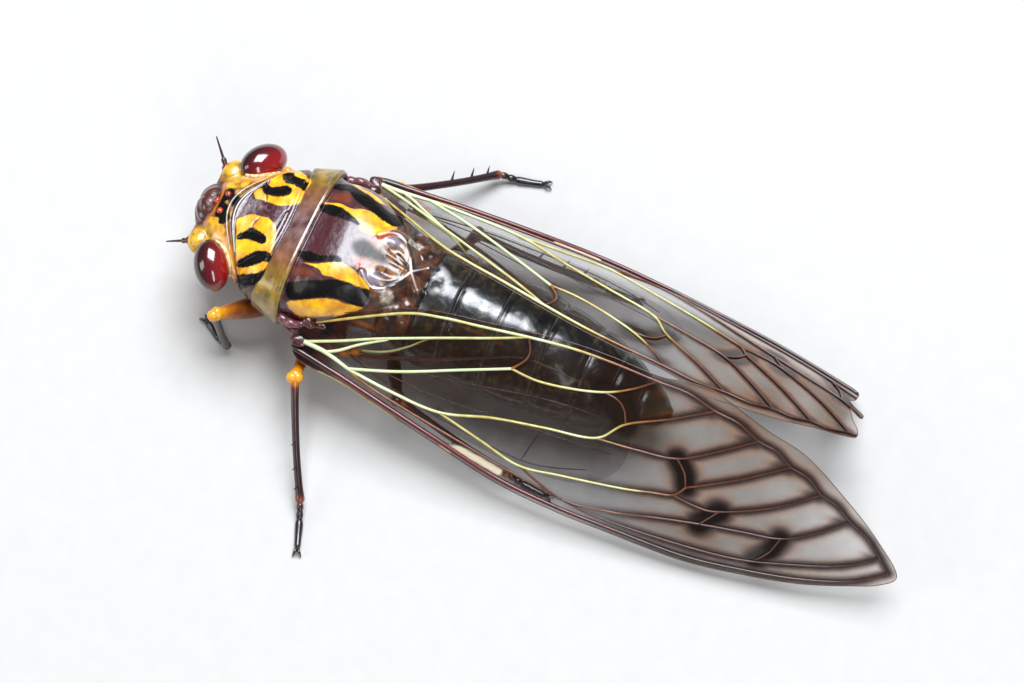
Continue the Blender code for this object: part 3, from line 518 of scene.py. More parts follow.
def mark(thing, name, values):
    """A value at each point of the mesh, for its material to read."""
    layer = thing.data.attributes.new(name, "FLOAT", "POINT")
    layer.data.foreach_set("value", np.asarray(values, np.float32).ravel())


def ring_faces(rows, columns):
    """Quads over rows of closed rings, and a fan over each end to the two points after them."""
    i = np.arange(rows - 1)[:, None] * columns
    j = np.arange(columns)[None, :]
    k = (j + 1) % columns
    quads = np.stack([i + j, i + k, i + columns + k, i + columns + j], -1).reshape(-1, 4)
    j = np.arange(columns)
    k = (j + 1) % columns
    last = (rows - 1) * columns
    hub = rows * columns
    front = np.stack([k, j, np.full(columns, hub)], -1)
    rear = np.stack([last + j, last + k, np.full(columns, hub + 1)], -1)
    return quads, np.concatenate([front, rear])


rows = np.concatenate([
    np.linspace(NOSE, ROWS_MEET[0], FRONT_ROWS), np.linspace(ROWS_MEET[1], TAIL, REAR_ROWS),
])
angles = math.tau * np.arange(SKIN_COLUMNS) / SKIN_COLUMNS
half, top, middle, bottom, above, below = [column[:, None] for column in profile(rows).T]
cosine = np.cos(angles)[None, :]
sine = np.sin(angles)[None, :]
power = np.where(sine > 0, above, below)
body_x = np.sign(cosine) * np.abs(cosine) ** (2 / power) * half
reach = np.where(sine > 0, top - middle, middle - bottom)
body_z = middle + np.sign(sine) * np.abs(sine) ** (2 / power) * reach
body_y = np.broadcast_to(rows[:, None], body_x.shape).copy()
middle = np.broadcast_to(middle, body_x.shape)

# The nose narrows to the front of the face, and the plates over the feelers, the rims of the
# eyes and the ribbed face swell out of the head.
narrow = np.sqrt(np.clip(1 - (np.minimum(body_y - NOSE_FROM, 0.0) / NOSE_ROUND) ** 2, 0.0, 1.0))
body_x = body_x * narrow
body_z = middle + (body_z - middle) * narrow
head = body_y[:, 0] < HEAD_END
radius = np.hypot(body_x[head], body_z[head] - middle[head])
way_x = body_x[head] / np.maximum(radius, 1e-6)
way_z = (body_z[head] - middle[head]) / np.maximum(radius, 1e-6)
fallback_x = np.broadcast_to(cosine, radius.shape)
fallback_z = np.broadcast_to(sine, radius.shape)
way_x = np.where(radius > 1e-4, way_x, fallback_x)
way_z = np.where(radius > 1e-4, way_z, fallback_z)
for ball in (CLYPEUS, FEELER_PLATE, EYE_RIM):
    for _, side in SIDES:
        out = reach_of(sided(ball, side), way_x, body_y[head], middle[head] + way_z, middle[head])
        radius = np.where(out > 0, higher(radius, out, 0.1), radius)
body_x[head] = way_x * radius
body_z[head] = middle[head] + way_z * radius

points = np.stack([body_x, body_y, body_z], -1)
along = np.gradient(points, axis=0)
around = np.roll(points, -1, 1) - np.roll(points, 1, 1)
normal = np.cross(around, along)
normal /= np.maximum(np.linalg.norm(normal, axis=-1, keepdims=True), 1e-9)
outward = np.sign((normal * np.stack([body_x, np.zeros_like(body_x), body_z - middle], -1)).sum(-1).mean())
normal = normal * outward

share = np.clip((body_x / half) ** 2, 0.0, 1.2)
seam = body_y - (HEAD_SEAM + HEAD_BOW * share)
collar = body_y - (COLLAR_FRONT - COLLAR_BOW * share)
collar_rear = body_y - COLLAR_REAR
upper = rise(body_z - middle, -1.0, 1.0)
near_middle = ridge(body_x, 1.7)


def on_back(outlines, lowest=0.0):
    """How far inside any of the outlines each point of the upper side lies, or -1 below it."""
    return np.where(body_z > middle + lowest, union_of(outlines, body_x, body_y), -1.0)


brow = on_back((YELLOW_PLATE, mirrored(YELLOW_PLATE)), SIDE_REACH)
gold = np.maximum(on_back(GOLD_OUTLINES, SIDE_REACH), brow)
black = on_back(BLACK_OUTLINES)
rust = on_back(RUST_OUTLINES)
pale = on_back(SHEEN_AND_BLOOM_OUTLINES)

height = -0.22 * ridge(seam, 0.11) + 0.09 * ridge(seam - 0.3, 0.1) * upper + 0.07 * ridge(seam + 0.25, 0.09)
height += COLLAR_STEP * rise(collar, 0.0, 0.22) * (1 - rise(collar_rear, 0.0, 0.12))
height -= 0.12 * ridge(collar + 0.08, 0.09)
height += 0.035 * (ridge(collar + 0.34, 0.1) + ridge(collar + 0.62, 0.1)) * near_middle * upper
height += 0.05 * ridge(collar_rear + 0.16, 0.1) - 0.2 * ridge(collar_rear - 0.2, 0.1)
on_hind_thorax = rise(body_y, -9.6, -9.0) * (1 - rise(body_y, -7.5, -7.1)) * upper
height += 0.07 * np.sin(5.3 * body_x) * np.cos(4.6 * body_y) * on_hind_thorax
on_pronotum = (seam > 0.2) & (collar < -0.2)
fissure = np.full_like(body_x, FAR)
for line in FISSURES:
    away, gone = line_distance(line, body_x, body_y)
    fissure = np.minimum(fissure, away + 0.05 * (1 - np.sin(math.pi * gone)))
fissure = np.where(body_z > middle, fissure, FAR)
height -= 0.1 * ridge(fissure, FISSURE_WIDTH)
height += np.where(on_pronotum, 0.05 * rise(gold, -0.2, 0.25) - 0.09 * rise(black, -0.12, 0.08), 0.0)
height -= 0.18 * ridge(body_y - SHIELD_REAR, 0.1) + 0.2 * ridge(body_y - ABDOMEN_FRONT, 0.12)
for start, end in zip((ABDOMEN_FRONT, *RING_ENDS), (*RING_ENDS, TAIL)):
    share_in = np.clip((body_y - start) / (end - start), 0.0, 1.0)
    height += RING_SWELL * (1 - (2 * share_in - 1) ** 2) * (body_y > start) * (body_y <= end)
for end in RING_ENDS:
    height += 0.05 * ridge(body_y - end + 0.16, 0.2) - 0.17 * ridge(body_y - end - 0.1, 0.13)
height *= 1 - rise(body_y, 12.0, 12.8)
face_share = (1 - rise(nearness(CLYPEUS, points), 1.0, 1.1)) * rise(-body_y, 23.9, 24.4)
face_ribs = 0.035 * np.cos(math.tau * points[..., 2] / FACE_RIB) * rise(np.abs(body_x), 0.25, 0.5)
height += face_share * (face_ribs - 0.05 * ridge(body_x, 0.14))
points = points + normal * height[..., None]

# The cross-shaped elevation and the plate in front of it stand over the rear of the thorax.
plate_centre, plate_radii = SCUTELLUM
x, y, z = points[..., 0], points[..., 1], points[..., 2]
plate_share = 1 - ((x - plate_centre[0]) / plate_radii[0]) ** 2
plate_share = plate_share - ((y - plate_centre[1]) / plate_radii[1]) ** 2
plate = plate_centre[2] + plate_radii[2] * np.sqrt(np.maximum(plate_share, 0.0))
lobes = ridge(np.abs(x) - LOBE_SPOT[0], LOBE_SIZE[0]) * ridge(y - LOBE_SPOT[1], LOBE_SIZE[1])
fold_angle = np.arctan2(x - FOLD_POINT[0], FOLD_POINT[1] - y)
fold_reach = np.hypot(x - FOLD_POINT[0], y - FOLD_POINT[1])
folds = np.cos(FOLD_COUNT * fold_angle + 2.2 * np.sin(5 * fold_angle + 1.3) + 1.4 * fold_reach)
folds = folds * rise(fold_reach, 0.7, 1.3) * (1 - rise(fold_reach, 2.3, 3.2))
plate = plate + LOBE_RISE * lobes - 0.16 * ridge(np.abs(x) - 0.95, 0.3) * ridge(y + 9.9, 0.9)
plate = plate - 0.12 * ridge(x, 0.35) * rise(y, -11.8, -10.8) + FOLD_RISE * folds
plate = np.where(plate_share > 0, plate, 0.0)
arms = [CROSS_FRONT, [(-knot[0], *knot[1:]) for knot in CROSS_FRONT[:-1]] + [CROSS_FRONT[-1]]]
arms = [smooth_path(arm, 0.15) for arm in arms]
arms += [smooth_path((CROSS_FRONT[-1], tip), 0.15) for tip in CROSS_REAR]
cross = np.zeros_like(x)
cross_away = np.full_like(x, FAR)
for arm in arms:
    away, gone = line_distance(arm, x, y)
    levels = np.array([knot[2] for knot in arm])
    level = np.interp(gone, np.linspace(0, 1, len(levels)), levels)
    cross = np.maximum(cross, level + 0.2 - 1.7 * np.maximum(away - ARM_WIDTH, 0.0) ** 2 - 0.4 * away**2)
    cross_away = np.minimum(cross_away, away)
on_top = (z > middle + 1.0) & (y > -12.5) & (y < -6.6)
raised = np.where(plate > 0, 0.5 * (z + plate + np.hypot(z - plate, PLATE_BLEND)), z)
cross = np.where(cross_away < 0.9, cross, 0.0)
raised = np.where(cross > raised - 0.3, higher(raised, cross, 0.05), raised)
points[..., 2] = np.where(on_top, raised, z)

nose_hub = (0.0, NOSE - 0.01, float(middle[0, 0]))
tail_hub = (0.0, TAIL, float(middle[-1, 0]))
skin_points = np.vstack([points.reshape(-1, 3), nose_hub, tail_hub])
skin_quads, skin_fans = ring_faces(len(rows), SKIN_COLUMNS)


def with_hubs(values):
    """Values for the grid, and the nearest ones for the two end points."""
    return np.concatenate([values.ravel(), [values[0, 0], values[-1, 0]]])


# Chitin, grown in layers, tanned and wet: every mark lies under a clear hard gloss. The
# colours change by region, the outlines of the marks waver a little, and a fine leathery
# grain breaks the reflections. Some layers are painted light: glints along the ridges, a
# silvery lilac sheen on the raised lobes, and a reflection mixed with bloom on the abdomen.
cuticle, cuticle_shader = new_material("wet_tanned_cuticle", {
    "IOR": 1.5, "Roughness": 0.38, "Coat Weight": 1.0, "Coat Roughness": 0.15, "Coat IOR": 1.5,
})
MOTTLE = 0.9 * MM
FINE_MOTTLE = 0.45 * MM
GRAIN = 0.12 * MM
WRINKLE = 0.7 * MM
EDGE_WAVER = 0.6 * MM
TOOTH = 0.16 * MM
REGION_COLOURS = ("#8f5a12", "#33101a", "#84501c", "#42121a", "#46190f", "#0b0909")
REGION_COUNT = len(REGION_COLOURS)
ABDOMEN_REGION = REGION_COUNT - 1
place = add(cuticle, "ShaderNodeTexCoord", {}).outputs["Object"]
region = add(cuticle, "ShaderNodeAttribute", {"attribute_name": "region"}).outputs["Fac"]
region_ramp = add(cuticle, "ShaderNodeValToRGB", {
    "stops": [(number / REGION_COUNT, colour) for number, colour in enumerate(REGION_COLOURS)],
}, {"Fac": region})
region_ramp.color_ramp.interpolation = "CONSTANT"
mottle = add(cuticle, "ShaderNodeTexNoise", {"Scale": 1 / MOTTLE, "Detail": 4.0}, {"Vector": place})


def wandering(material, place, size, detail, low, high):
    """A noise of the given size in the object's own space that wanders between two values."""
    noise = add(material, "ShaderNodeTexNoise", {"Scale": 1 / size, "Detail": detail}, {"Vector": place})
    spread = {"From Min": 0.3, "From Max": 0.7, "To Min": low, "To Max": high}
    return add(material, "ShaderNodeMapRange", spread, {"Value": noise.outputs["Fac"]}).outputs["Result"]


waver = wandering(cuticle, place, EDGE_WAVER, 2.0, -0.035, 0.035)
teeth = wandering(cuticle, place, TOOTH, 1.0, -0.04, 0.04)
toothed = add(cuticle, "ShaderNodeMath", {"operation": "ADD"}, {0: waver, 1: teeth}).outputs[0]


def painted(material, under, colour, name, low, high, wavering=None):
    """A colour laid over another one where the named value passes from low to high."""
    value = add(material, "ShaderNodeAttribute", {"attribute_name": name}).outputs["Fac"]
    if wavering is not None:
        value = add(material, "ShaderNodeMath", {"operation": "ADD"}, {0: value, 1: wavering}).outputs[0]
    amount = add(
        material, "ShaderNodeMapRange", {"From Min": low, "From Max": high}, {"Value": value}
    ).outputs["Result"]
    links = {"Fac": amount, "Color1": under}
    settings = {}
    if isinstance(colour, str):
        settings["Color2"] = linear(colour)
    else:
        links["Color2"] = colour
    return add(material, "ShaderNodeMixRGB", settings, links).outputs["Color"]


def blotched(material, noise, dark, light, low=0.35, high=0.65):
    """A colour that wanders between two hex values with a noise."""
    amount = add(
        material, "ShaderNodeMapRange", {"From Min": low, "From Max": high}, {"Value": noise}
    ).outputs["Result"]
    settings = {"Color1": linear(dark), "Color2": linear(light)}
    return add(material, "ShaderNodeMixRGB", settings, {"Fac": amount}).outputs["Color"]


blotch = mottle.outputs["Fac"]
fine_mottle = add(
    cuticle, "ShaderNodeTexNoise", {"Scale": 1 / FINE_MOTTLE, "Detail": 3.0}, {"Vector": place}
).outputs["Fac"]
olive = blotched(cuticle, blotch, "#5f4e06", "#94710c")
gold_paint = blotched(cuticle, blotch, "#e09205", "#f5b708")
olive_gold = blotched(cuticle, fine_mottle, "#9c7408", "#dda41a", 0.35, 0.6)
silver_brown = blotched(cuticle, blotch, "#4c2a2c", "#80625f")
crown = blotched(cuticle, fine_mottle, "#2a100a", "#c08a2c", 0.4, 0.62)
mauve = blotched(cuticle, fine_mottle, "#3a1016", "#7d5560", 0.5, 0.66)
hinder_brown = blotched(cuticle, blotch, "#2a0e0a", "#7a4420", 0.4, 0.7)
plate_brown = blotched(cuticle, fine_mottle, "#2c1410", "#8a5218", 0.42, 0.6)
face_brown = blotched(cuticle, fine_mottle, "#35100e", "#5c221c", 0.4, 0.6)
flecks = blotched(cuticle, fine_mottle, "#0c0a08", "#5e4a1c", 0.5, 0.72)
# Greyish to silvery white for the abdomen's patches: partly painted reflection, partly bloom.
silver_sheen_and_bloom = blotched(cuticle, blotch, "#2a2726", "#b9b6b2", 0.42, 0.6)
wax = blotched(cuticle, fine_mottle, "#8a6a5c", "#e4d6c6", 0.4, 0.6)
# From the lowest layer up: the colour, the mark that it follows, where it starts and is full
# along that mark, and the noise that its edge wanders with.
SKIN_LAYERS = (
    (crown, "crown", 0.0, 0.8),
    (mauve, "disc", 0.0, 1.0),
    (hinder_brown, "hinder", 0.0, 1.0),
    (plate_brown, "plate", 0.0, 1.0),
    # Painted sheen: a silvery lilac on the raised lobes of the shield, where they catch the light.
    ("#84777f", "lobe", 0.1, 0.9),
    ("#b03a1c", "blush", -0.3, 0.2, waver),
    ("#150f10", "smudge", -0.3, 0.3, waver),
    (silver_brown, "collar_middle", 0.0, 1.0),
    (olive, "collar_ends", 0.0, 1.0),
    ("#6a2c12", "rust", 0.05, 0.35, waver),
    (gold_paint, "gold", -0.03, 0.05, waver),
    (olive_gold, "brow", -0.05, 0.15, waver),
    ("#cc8218", "orbit", 0.0, 0.5),
    ("#e6cf94", "orbit", 0.75, 1.15),
    ("#0a0808", "black", -0.13, -0.03, toothed),
    ("#12080a", "fissure", 0.1, 0.7),
    (face_brown, "face", 0.0, 1.0),
    ("#b3651a", "face_rim", 0.1, 0.9),
    ("#7a4a1a", "belly", 0.2, 0.9),
    (flecks, "flank", 0.0, 1.0),
    (silver_sheen_and_bloom, "pale", -0.25, 0.35, waver),
    (wax, "wax", -0.1, 0.1, waver),
    # Painted glints: a light cream on the ridges of the seam and collar, the arms of the cross and the ring
    # edges, where light catches them.
    ("#d9d0c2", "rim", 0.2, 1.0),
)
colour = region_ramp.outputs["Color"]
for layer in SKIN_LAYERS:
    colour = painted(cuticle, colour, *layer)
shade = add(
    cuticle, "ShaderNodeMapRange", {"From Min": 0.3, "From Max": 0.7, "To Min": 0.78, "To Max": 1.1},
    {"Value": blotch},
).outputs["Result"]
shade = add(cuticle, "ShaderNodeCombineColor", {}, {"Red": shade, "Green": shade, "Blue": shade})
colour = add(
    cuticle, "ShaderNodeMixRGB", {"blend_type": "MULTIPLY", "Fac": 1.0},
    {"Color1": colour, "Color2": shade.outputs["Color"]},
).outputs["Color"]
feed(cuticle_shader, "Base Color", colour)
velvet = add(cuticle, "ShaderNodeAttribute", {"attribute_name": "velvet"}).outputs["Fac"]
wet = add(cuticle, "ShaderNodeMapRange", {"To Min": 1.0, "To Max": 0.25}, {"Value": velvet})
feed(cuticle_shader, "Coat Weight", wet.outputs["Result"])
velvet_shine = add(cuticle, "ShaderNodeMath", {"operation": "MULTIPLY", 1: 0.5}, {0: wet.outputs["Result"]})
feed(cuticle_shader, "Specular IOR Level", velvet_shine.outputs[0])
grain = add(cuticle, "ShaderNodeTexNoise", {"Scale": 1 / GRAIN, "Detail": 3.0}, {"Vector": place})
relief = add(
    cuticle, "ShaderNodeBump", {"Strength": 0.5, "Distance": 0.012 * MM}, {"Height": grain.outputs["Fac"]}
)
wrinkles = add(cuticle, "ShaderNodeTexNoise", {"Scale": 1 / WRINKLE, "Detail": 2.0}, {"Vector": place})
relief = add(
    cuticle, "ShaderNodeBump", {"Strength": 1.0, "Distance": 0.1 * MM},
    {"Height": wrinkles.outputs["Fac"], "Normal": relief.outputs["Normal"]},
)
feed(cuticle_shader, "Normal", relief.outputs["Normal"])

skin = shaped("body_skin", skin_points, skin_quads, skin_fans, cuticle)
skin_marks = {}
number = np.where(seam < 0.0, 0, 1)
number = np.where(collar > 0.0, 2, number)
number = np.where(collar_rear > 0.12, 3, number)
number = np.where(body_y > HIND_THORAX_FROM, 4, number)
number = np.where(body_y > ABDOMEN_FROM, ABDOMEN_REGION, number)
skin_marks["region"] = (number + 0.5) / REGION_COUNT
plate_depth = inside_by(PLATE_OUTLINE, points[..., 0], points[..., 1])
skin_marks["plate"] = rise(plate_depth, -0.05, 0.2) * rise(points[..., 1], -12.0, -11.0) * on_top
# The lobe mark carries the painted sheen on the raised lobes of the shield.
skin_marks["lobe"] = np.clip(1.3 * lobes, 0.0, 1.0) * on_top
hinder = rise(points[..., 1], -10.6, -9.4) * (points[..., 1] < ABDOMEN_FROM) * (plate_depth < 0.05)
skin_marks["hinder"] = hinder * rise(points[..., 2] - middle, 0.5, 2.0)
skin_marks["fissure"] = ridge(fissure, FISSURE_WIDTH)
skin_marks["blush"] = on_back(BLUSH_OUTLINES)
skin_marks["brow"] = brow
flank = (body_y > -6.0) * rise(np.abs(body_x), 0.5, 2.4) * rise(points[..., 2] - middle, -1.0, 0.5)
skin_marks["flank"] = flank * (1 - rise(body_y, 7.0, 10.0))
skin_marks["gold"] = gold
front_black = np.where(body_y < -17.9, black + 0.12, black)
skin_marks["black"] = front_black
smudge = on_back(SMUDGE_OUTLINES)
skin_marks["velvet"] = np.maximum(rise(front_black, -0.13, -0.03), 0.9 * rise(smudge, -0.35, 0.2))
skin_marks["rust"] = rust
skin_marks["smudge"] = smudge
# The abdomen's patches of painted reflection and silvery bloom.
skin_marks["pale"] = pale
on_collar = ((collar > 0.05) & (collar_rear < 0.1)).astype(float)
skin_marks["collar_middle"] = on_collar * ridge(body_x, 2.5)
skin_marks["collar_ends"] = on_collar * rise(np.abs(body_x), 2.6, 4.6)
skin_marks["belly"] = rise(middle - points[..., 2], 0.5, 3.0) * (number < ABDOMEN_REGION)
skin_marks["crown"] = (seam < 0.05) * rise(points[..., 2], 8.2, 8.8) * ridge(body_x, 1.7)
on_plate = (seam > 0.25) & (collar < -0.1)
skin_marks["disc"] = on_plate * (1 - rise(np.abs(body_x), 1.0, 1.6))
skin_marks["wax"] = np.where(points[..., 2] > middle, union_of(WAX_OUTLINES, body_x, body_y), -1.0)
clypeus_near = nearness(CLYPEUS, points)
skin_marks["face"] = rise(-clypeus_near, -1.12, -1.02) * (body_y < -23.4)
skin_marks["face_rim"] = ridge(clypeus_near - 1.1, 0.05) * rise(-body_y, 23.4, 23.7) * upper
orbit = np.zeros_like(body_x)
for _, side in SIDES:
    orbit = np.maximum(orbit, 1 - rise(nearness(sided(EYE, side), points), 1.15, 1.6))
skin_marks["orbit"] = orbit * (body_y > -23.0)
# Painted glints: thin light lines on the ridges beside the head seam, the collar's rear edge, the cross and
# the rear edges of the rings.
rim = 0.9 * ridge(seam - 0.3, 0.07) + 0.8 * ridge(seam + 0.25, 0.06)
rim = rim * upper * (np.abs(body_x) < 3.2)
rim = np.maximum(rim, 0.8 * ridge(collar_rear + 0.1, 0.05) * upper * ridge(body_x, 3.5))
cross_glint = 0.85 * ridge(cross_away, CROSS_GLINT_WIDTH) * (0.75 + 0.25 * np.cos(3.1 * y))
rim = np.maximum(rim, np.where(on_top & (cross_away < 0.5), cross_glint, 0.0))
for end in RING_ENDS:
    rim = np.maximum(rim, 0.35 * ridge(body_y - end + 0.08, 0.06))
skin_marks["rim"] = rim
for name, values in skin_marks.items():
    mark(skin, name, with_hubs(values))
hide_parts("head", "pronotum", "mesothorax", "metathorax", "abdomen", "abdomen_tip")

# The compound eyes are smooth eggs of very fine facets set in the sides of the head, so deep
# red that the front looks black, and wet. Each replaces its plain solid.
FACET = 0.055 * MM
EYE_COLUMNS = 96
EYE_ROWS = 64
eye_gloss, eye_shader = new_material("deep_red_facets", {
    "IOR": 1.5, "Roughness": 0.16, "Coat Weight": 1.0, "Coat Roughness": 0.02,
})
eye_side = add(eye_gloss, "ShaderNodeAttribute", {"attribute_name": "inner"}).outputs["Fac"]
EYE_TINTS = ((0.0, "#12030a"), (0.42, "#2c0508"), (0.68, "#64090e"), (0.9, "#8c1213"))
eye_ramp = add(eye_gloss, "ShaderNodeValToRGB", {"stops": EYE_TINTS}, {"Fac": eye_side})
feed(eye_shader, "Base Color", eye_ramp.outputs["Color"])
eye_place = add(eye_gloss, "ShaderNodeTexCoord", {}).outputs["Object"]
facets = add(eye_gloss, "ShaderNodeTexVoronoi", {"Scale": 1 / FACET}, {"Vector": eye_place})
facet_relief = add(
    eye_gloss, "ShaderNodeBump", {"Strength": 0.35, "Distance": 0.006 * MM, "invert": True},
    {"Height": facets.outputs["Distance"]},
)
feed(eye_shader, "Normal", facet_relief.outputs["Normal"])


def egg(ball, columns, rows_of):
    """Points and faces of a ball with the given centre, radii and axis."""
    centre, radii, axis = ball
    tilt = math.pi * (np.arange(rows_of) + 0.5)[:, None] / rows_of
    spin = math.tau * np.arange(columns)[None, :] / columns
    upward = np.broadcast_to(np.cos(tilt), (rows_of, columns))
    unit = np.stack([np.sin(tilt) * np.cos(spin), np.sin(tilt) * np.sin(spin), upward], -1).reshape(-1, 3)
    unit = np.vstack([unit, (0, 0, 1), (0, 0, -1)])
    placed = (unit * np.array(radii)) @ upright(axis).T + np.array(centre)
    quads, fans = ring_faces(rows_of, columns)
    return placed, quads[:, ::-1], fans[:, ::-1]


for side_name, side in SIDES:
    eye_points, quads, fans = egg(sided(EYE, side), EYE_COLUMNS, EYE_ROWS)
    eye = shaped("eye_gloss_" + side_name, eye_points, quads, fans, eye_gloss)
    offset = eye_points - np.array(sided(EYE, side)[0])
    toward_rear = offset @ np.array((-0.25 * side, 0.9, 0.3)) / 1.5
    mark(eye, "inner", 0.5 + 0.5 * toward_rear)
    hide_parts("eye_" + side_name)

# The three simple eyes are clear domes of cuticle on the crown of the head, each over a dark
# red pit. They look like beads of amber resin.
OCELLI = ((0.72, -23.2, 8.98), (-0.72, -23.2, 8.98), (0.0, -23.8, 8.78))
OCELLUS_RADIUS = 0.27
amber, amber_shader = new_material("amber_dome", {
    "IOR": 1.5, "Roughness": 0.08, "Coat Weight": 1.0, "Coat Roughness": 0.02,
})
amber_place = add(amber, "ShaderNodeTexCoord", {}).outputs["Object"]
amber_cloud = add(amber, "ShaderNodeTexNoise", {"Scale": 1 / (0.3 * MM)}, {"Vector": amber_place})
amber_tone = blotched(amber, amber_cloud.outputs["Fac"], "#7c0f12", "#c04a20")
feed(amber_shader, "Base Color", amber_tone)
for number_of, spot in enumerate(OCELLI):
    bead, quads, fans = egg((spot, (OCELLUS_RADIUS,) * 3, (0, 0, 1)), 28, 18)
    dome = shaped(f"ocellus_{number_of + 1}", bead, quads, fans, amber)


# Limbs, feelers and the beak are tubes of tanned cuticle, swept along smooth lines. Each
# point carries a tint, from orange-brown through yellow at the knees to purple-black.
def swept(route, sides, floor_level=None):
    """A round tube along rows of x, y, z and radius, closed with a fan at each end."""
    spots = route[:, :3]
    radii = route[:, 3]
    way = np.gradient(spots, axis=0)
    way /= np.maximum(np.linalg.norm(way, axis=1, keepdims=True), 1e-9)
    guide = np.array((0.13, 0.21, 1.0)) / np.linalg.norm((0.13, 0.21, 1.0))
    across = np.cross(way, guide)
    across /= np.linalg.norm(across, axis=1, keepdims=True)
    over = np.cross(across, way)
    spin = math.tau * np.arange(sides) / sides
    ring = across[:, None] * np.cos(spin)[None, :, None] + over[:, None] * np.sin(spin)[None, :, None]
    grid = spots[:, None] + ring * radii[:, None, None]
    if floor_level is not None:
        grid[..., 2] = np.maximum(grid[..., 2], floor_level)
    hubs = np.array([spots[0], spots[-1]])
    quads, fans = ring_faces(len(route), sides)
    return np.vstack([grid.reshape(-1, 3), hubs]), quads, fans


def joined(pieces):
    """One list of points and faces from several."""
    points_of, quads, fans, values = zip(*pieces)
    counts = np.cumsum([0, *(len(made) for made in points_of[:-1])])
    quads = np.vstack([faces + count for faces, count in zip(quads, counts)])
    fans = np.vstack([faces + count for faces, count in zip(fans, counts)])
    return np.vstack(points_of), quads, fans, np.concatenate(values)


def limb(knots, tints, sides=22, step=0.1, floor_level=None):
    """A tube through knots of x, y, z, radius, with a tint at each knot."""
    rows_of = np.column_stack([np.array(knots, float), tints])
    route = smooth_path(rows_of, step)
    length = np.concatenate([[0.0], np.cumsum(np.linalg.norm(np.diff(route[:, :3], axis=0), axis=1))])
    from_end = np.minimum(length, length[-1] - length)
    radius = np.maximum(route[:, 3], 0.01)
    cap = np.minimum(from_end / np.maximum(radius, 1e-6), 1.0)
    route[:, 3] = radius * np.sqrt(np.clip(1 - (1 - cap) ** 2, 0.02, 1.0))
    points_of, quads, fans = swept(route[:, :4], sides, floor_level)
    value = np.concatenate([np.repeat(route[:, 4], sides), [route[0, 4], route[-1, 4]]])
    return points_of, quads, fans, value


def tinted(name, parts, material):
    """An object from joined parts, which carry a tint at each point."""
    thing = shaped(name, *parts[:3], material)
    mark(thing, "tint", parts[3])
    return thing


LIMB_GRAIN = 0.1 * MM
limb_cuticle, limb_shader = new_material("tanned_limb_cuticle", {
    "IOR": 1.56, "Roughness": 0.3, "Coat Weight": 0.6, "Coat Roughness": 0.08,
})
limb_place = add(limb_cuticle, "ShaderNodeTexCoord", {}).outputs["Object"]
limb_tint = add(limb_cuticle, "ShaderNodeAttribute", {"attribute_name": "tint"}).outputs["Fac"]
limb_wander = wandering(limb_cuticle, limb_place, 0.6 * MM, 4.0, -0.07, 0.07)
limb_value = add(limb_cuticle, "ShaderNodeMath", {"operation": "ADD"}, {0: limb_tint, 1: limb_wander})
LIMB_TINTS = (
    (0.0, "#e69a16"), (0.25, "#b3660f"), (0.45, "#7a3a10"), (0.62, "#5c1d12"), (0.8, "#2c0f12"),
    (1.0, "#0d090a"),
)
limb_ramp = add(
    limb_cuticle, "ShaderNodeValToRGB", {"stops": LIMB_TINTS}, {"Fac": limb_value.outputs[0]}
)
feed(limb_shader, "Base Color", limb_ramp.outputs["Color"])
limb_pits = add(
    limb_cuticle, "ShaderNodeTexNoise", {"Scale": 1 / LIMB_GRAIN, "Detail": 3.0}, {"Vector": limb_place}
)
limb_relief = add(
    limb_cuticle, "ShaderNodeBump", {"Strength": 0.6, "Distance": 0.015 * MM},
    {"Height": limb_pits.outputs["Fac"]},
)
feed(limb_shader, "Normal", limb_relief.outputs["Normal"])

# A pale rolled lip of cuticle holds the inner and rear edge of each eye, with a fringe of
# short straw-coloured hairs that lean away from the eye.
LIP_GUIDE = (
    (2.75, -22.9, 8.6), (2.7, -22.2, 8.75), (3.1, -21.7, 8.6), (3.6, -21.2, 8.3), (4.05, -20.85, 7.9),
    (4.4, -20.75, 7.3), (4.5, -20.9, 6.7),
)
LIP_RADII = (0.07, 0.13, 0.18, 0.2, 0.2, 0.17, 0.08)
HAIR_COUNT = 90
HAIR_LENGTH = 0.4
HAIR_RADIUS = 0.03
HAIR_LEAN = (-0.55, 0.75, 0.5)
straw, straw_shader = new_material("straw_hair_cuticle", {
    "IOR": 1.55, "Roughness": 0.45, "Coat Weight": 0.3, "Coat Roughness": 0.2,
})
straw_place = add(straw, "ShaderNodeTexCoord", {}).outputs["Object"]
straw_noise = add(
    straw, "ShaderNodeTexNoise", {"Scale": 1 / (0.25 * MM), "Detail": 3.0}, {"Vector": straw_place}
)
straw_tone = blotched(straw, straw_noise.outputs["Fac"], "#b5762a", "#e8d49c", 0.35, 0.6)
feed(straw_shader, "Base Color", straw_tone)
straw_relief = add(
    straw, "ShaderNodeBump", {"Strength": 0.5, "Distance": 0.02 * MM}, {"Height": straw_noise.outputs["Fac"]}
)
feed(straw_shader, "Normal", straw_relief.outputs["Normal"])


def between(a, b, t):
    """The point a share t of the way from a to b."""
    return np.array(a, float) + (np.array(b, float) - np.array(a, float)) * t


def unit_of(vector):
    """The vector at length 1."""
    return np.array(vector, float) / np.linalg.norm(vector)


def beside_eye(guide, swell):
    """The point of the left eye's surface, swollen a little, that lies towards a guide point."""
    centre, radii, axis = EYE
    local = upright(axis).T @ (np.array(guide) - np.array(centre)) / np.array(radii)
    return np.array(centre) + upright(axis) @ (unit_of(local) * swell * np.array(radii))


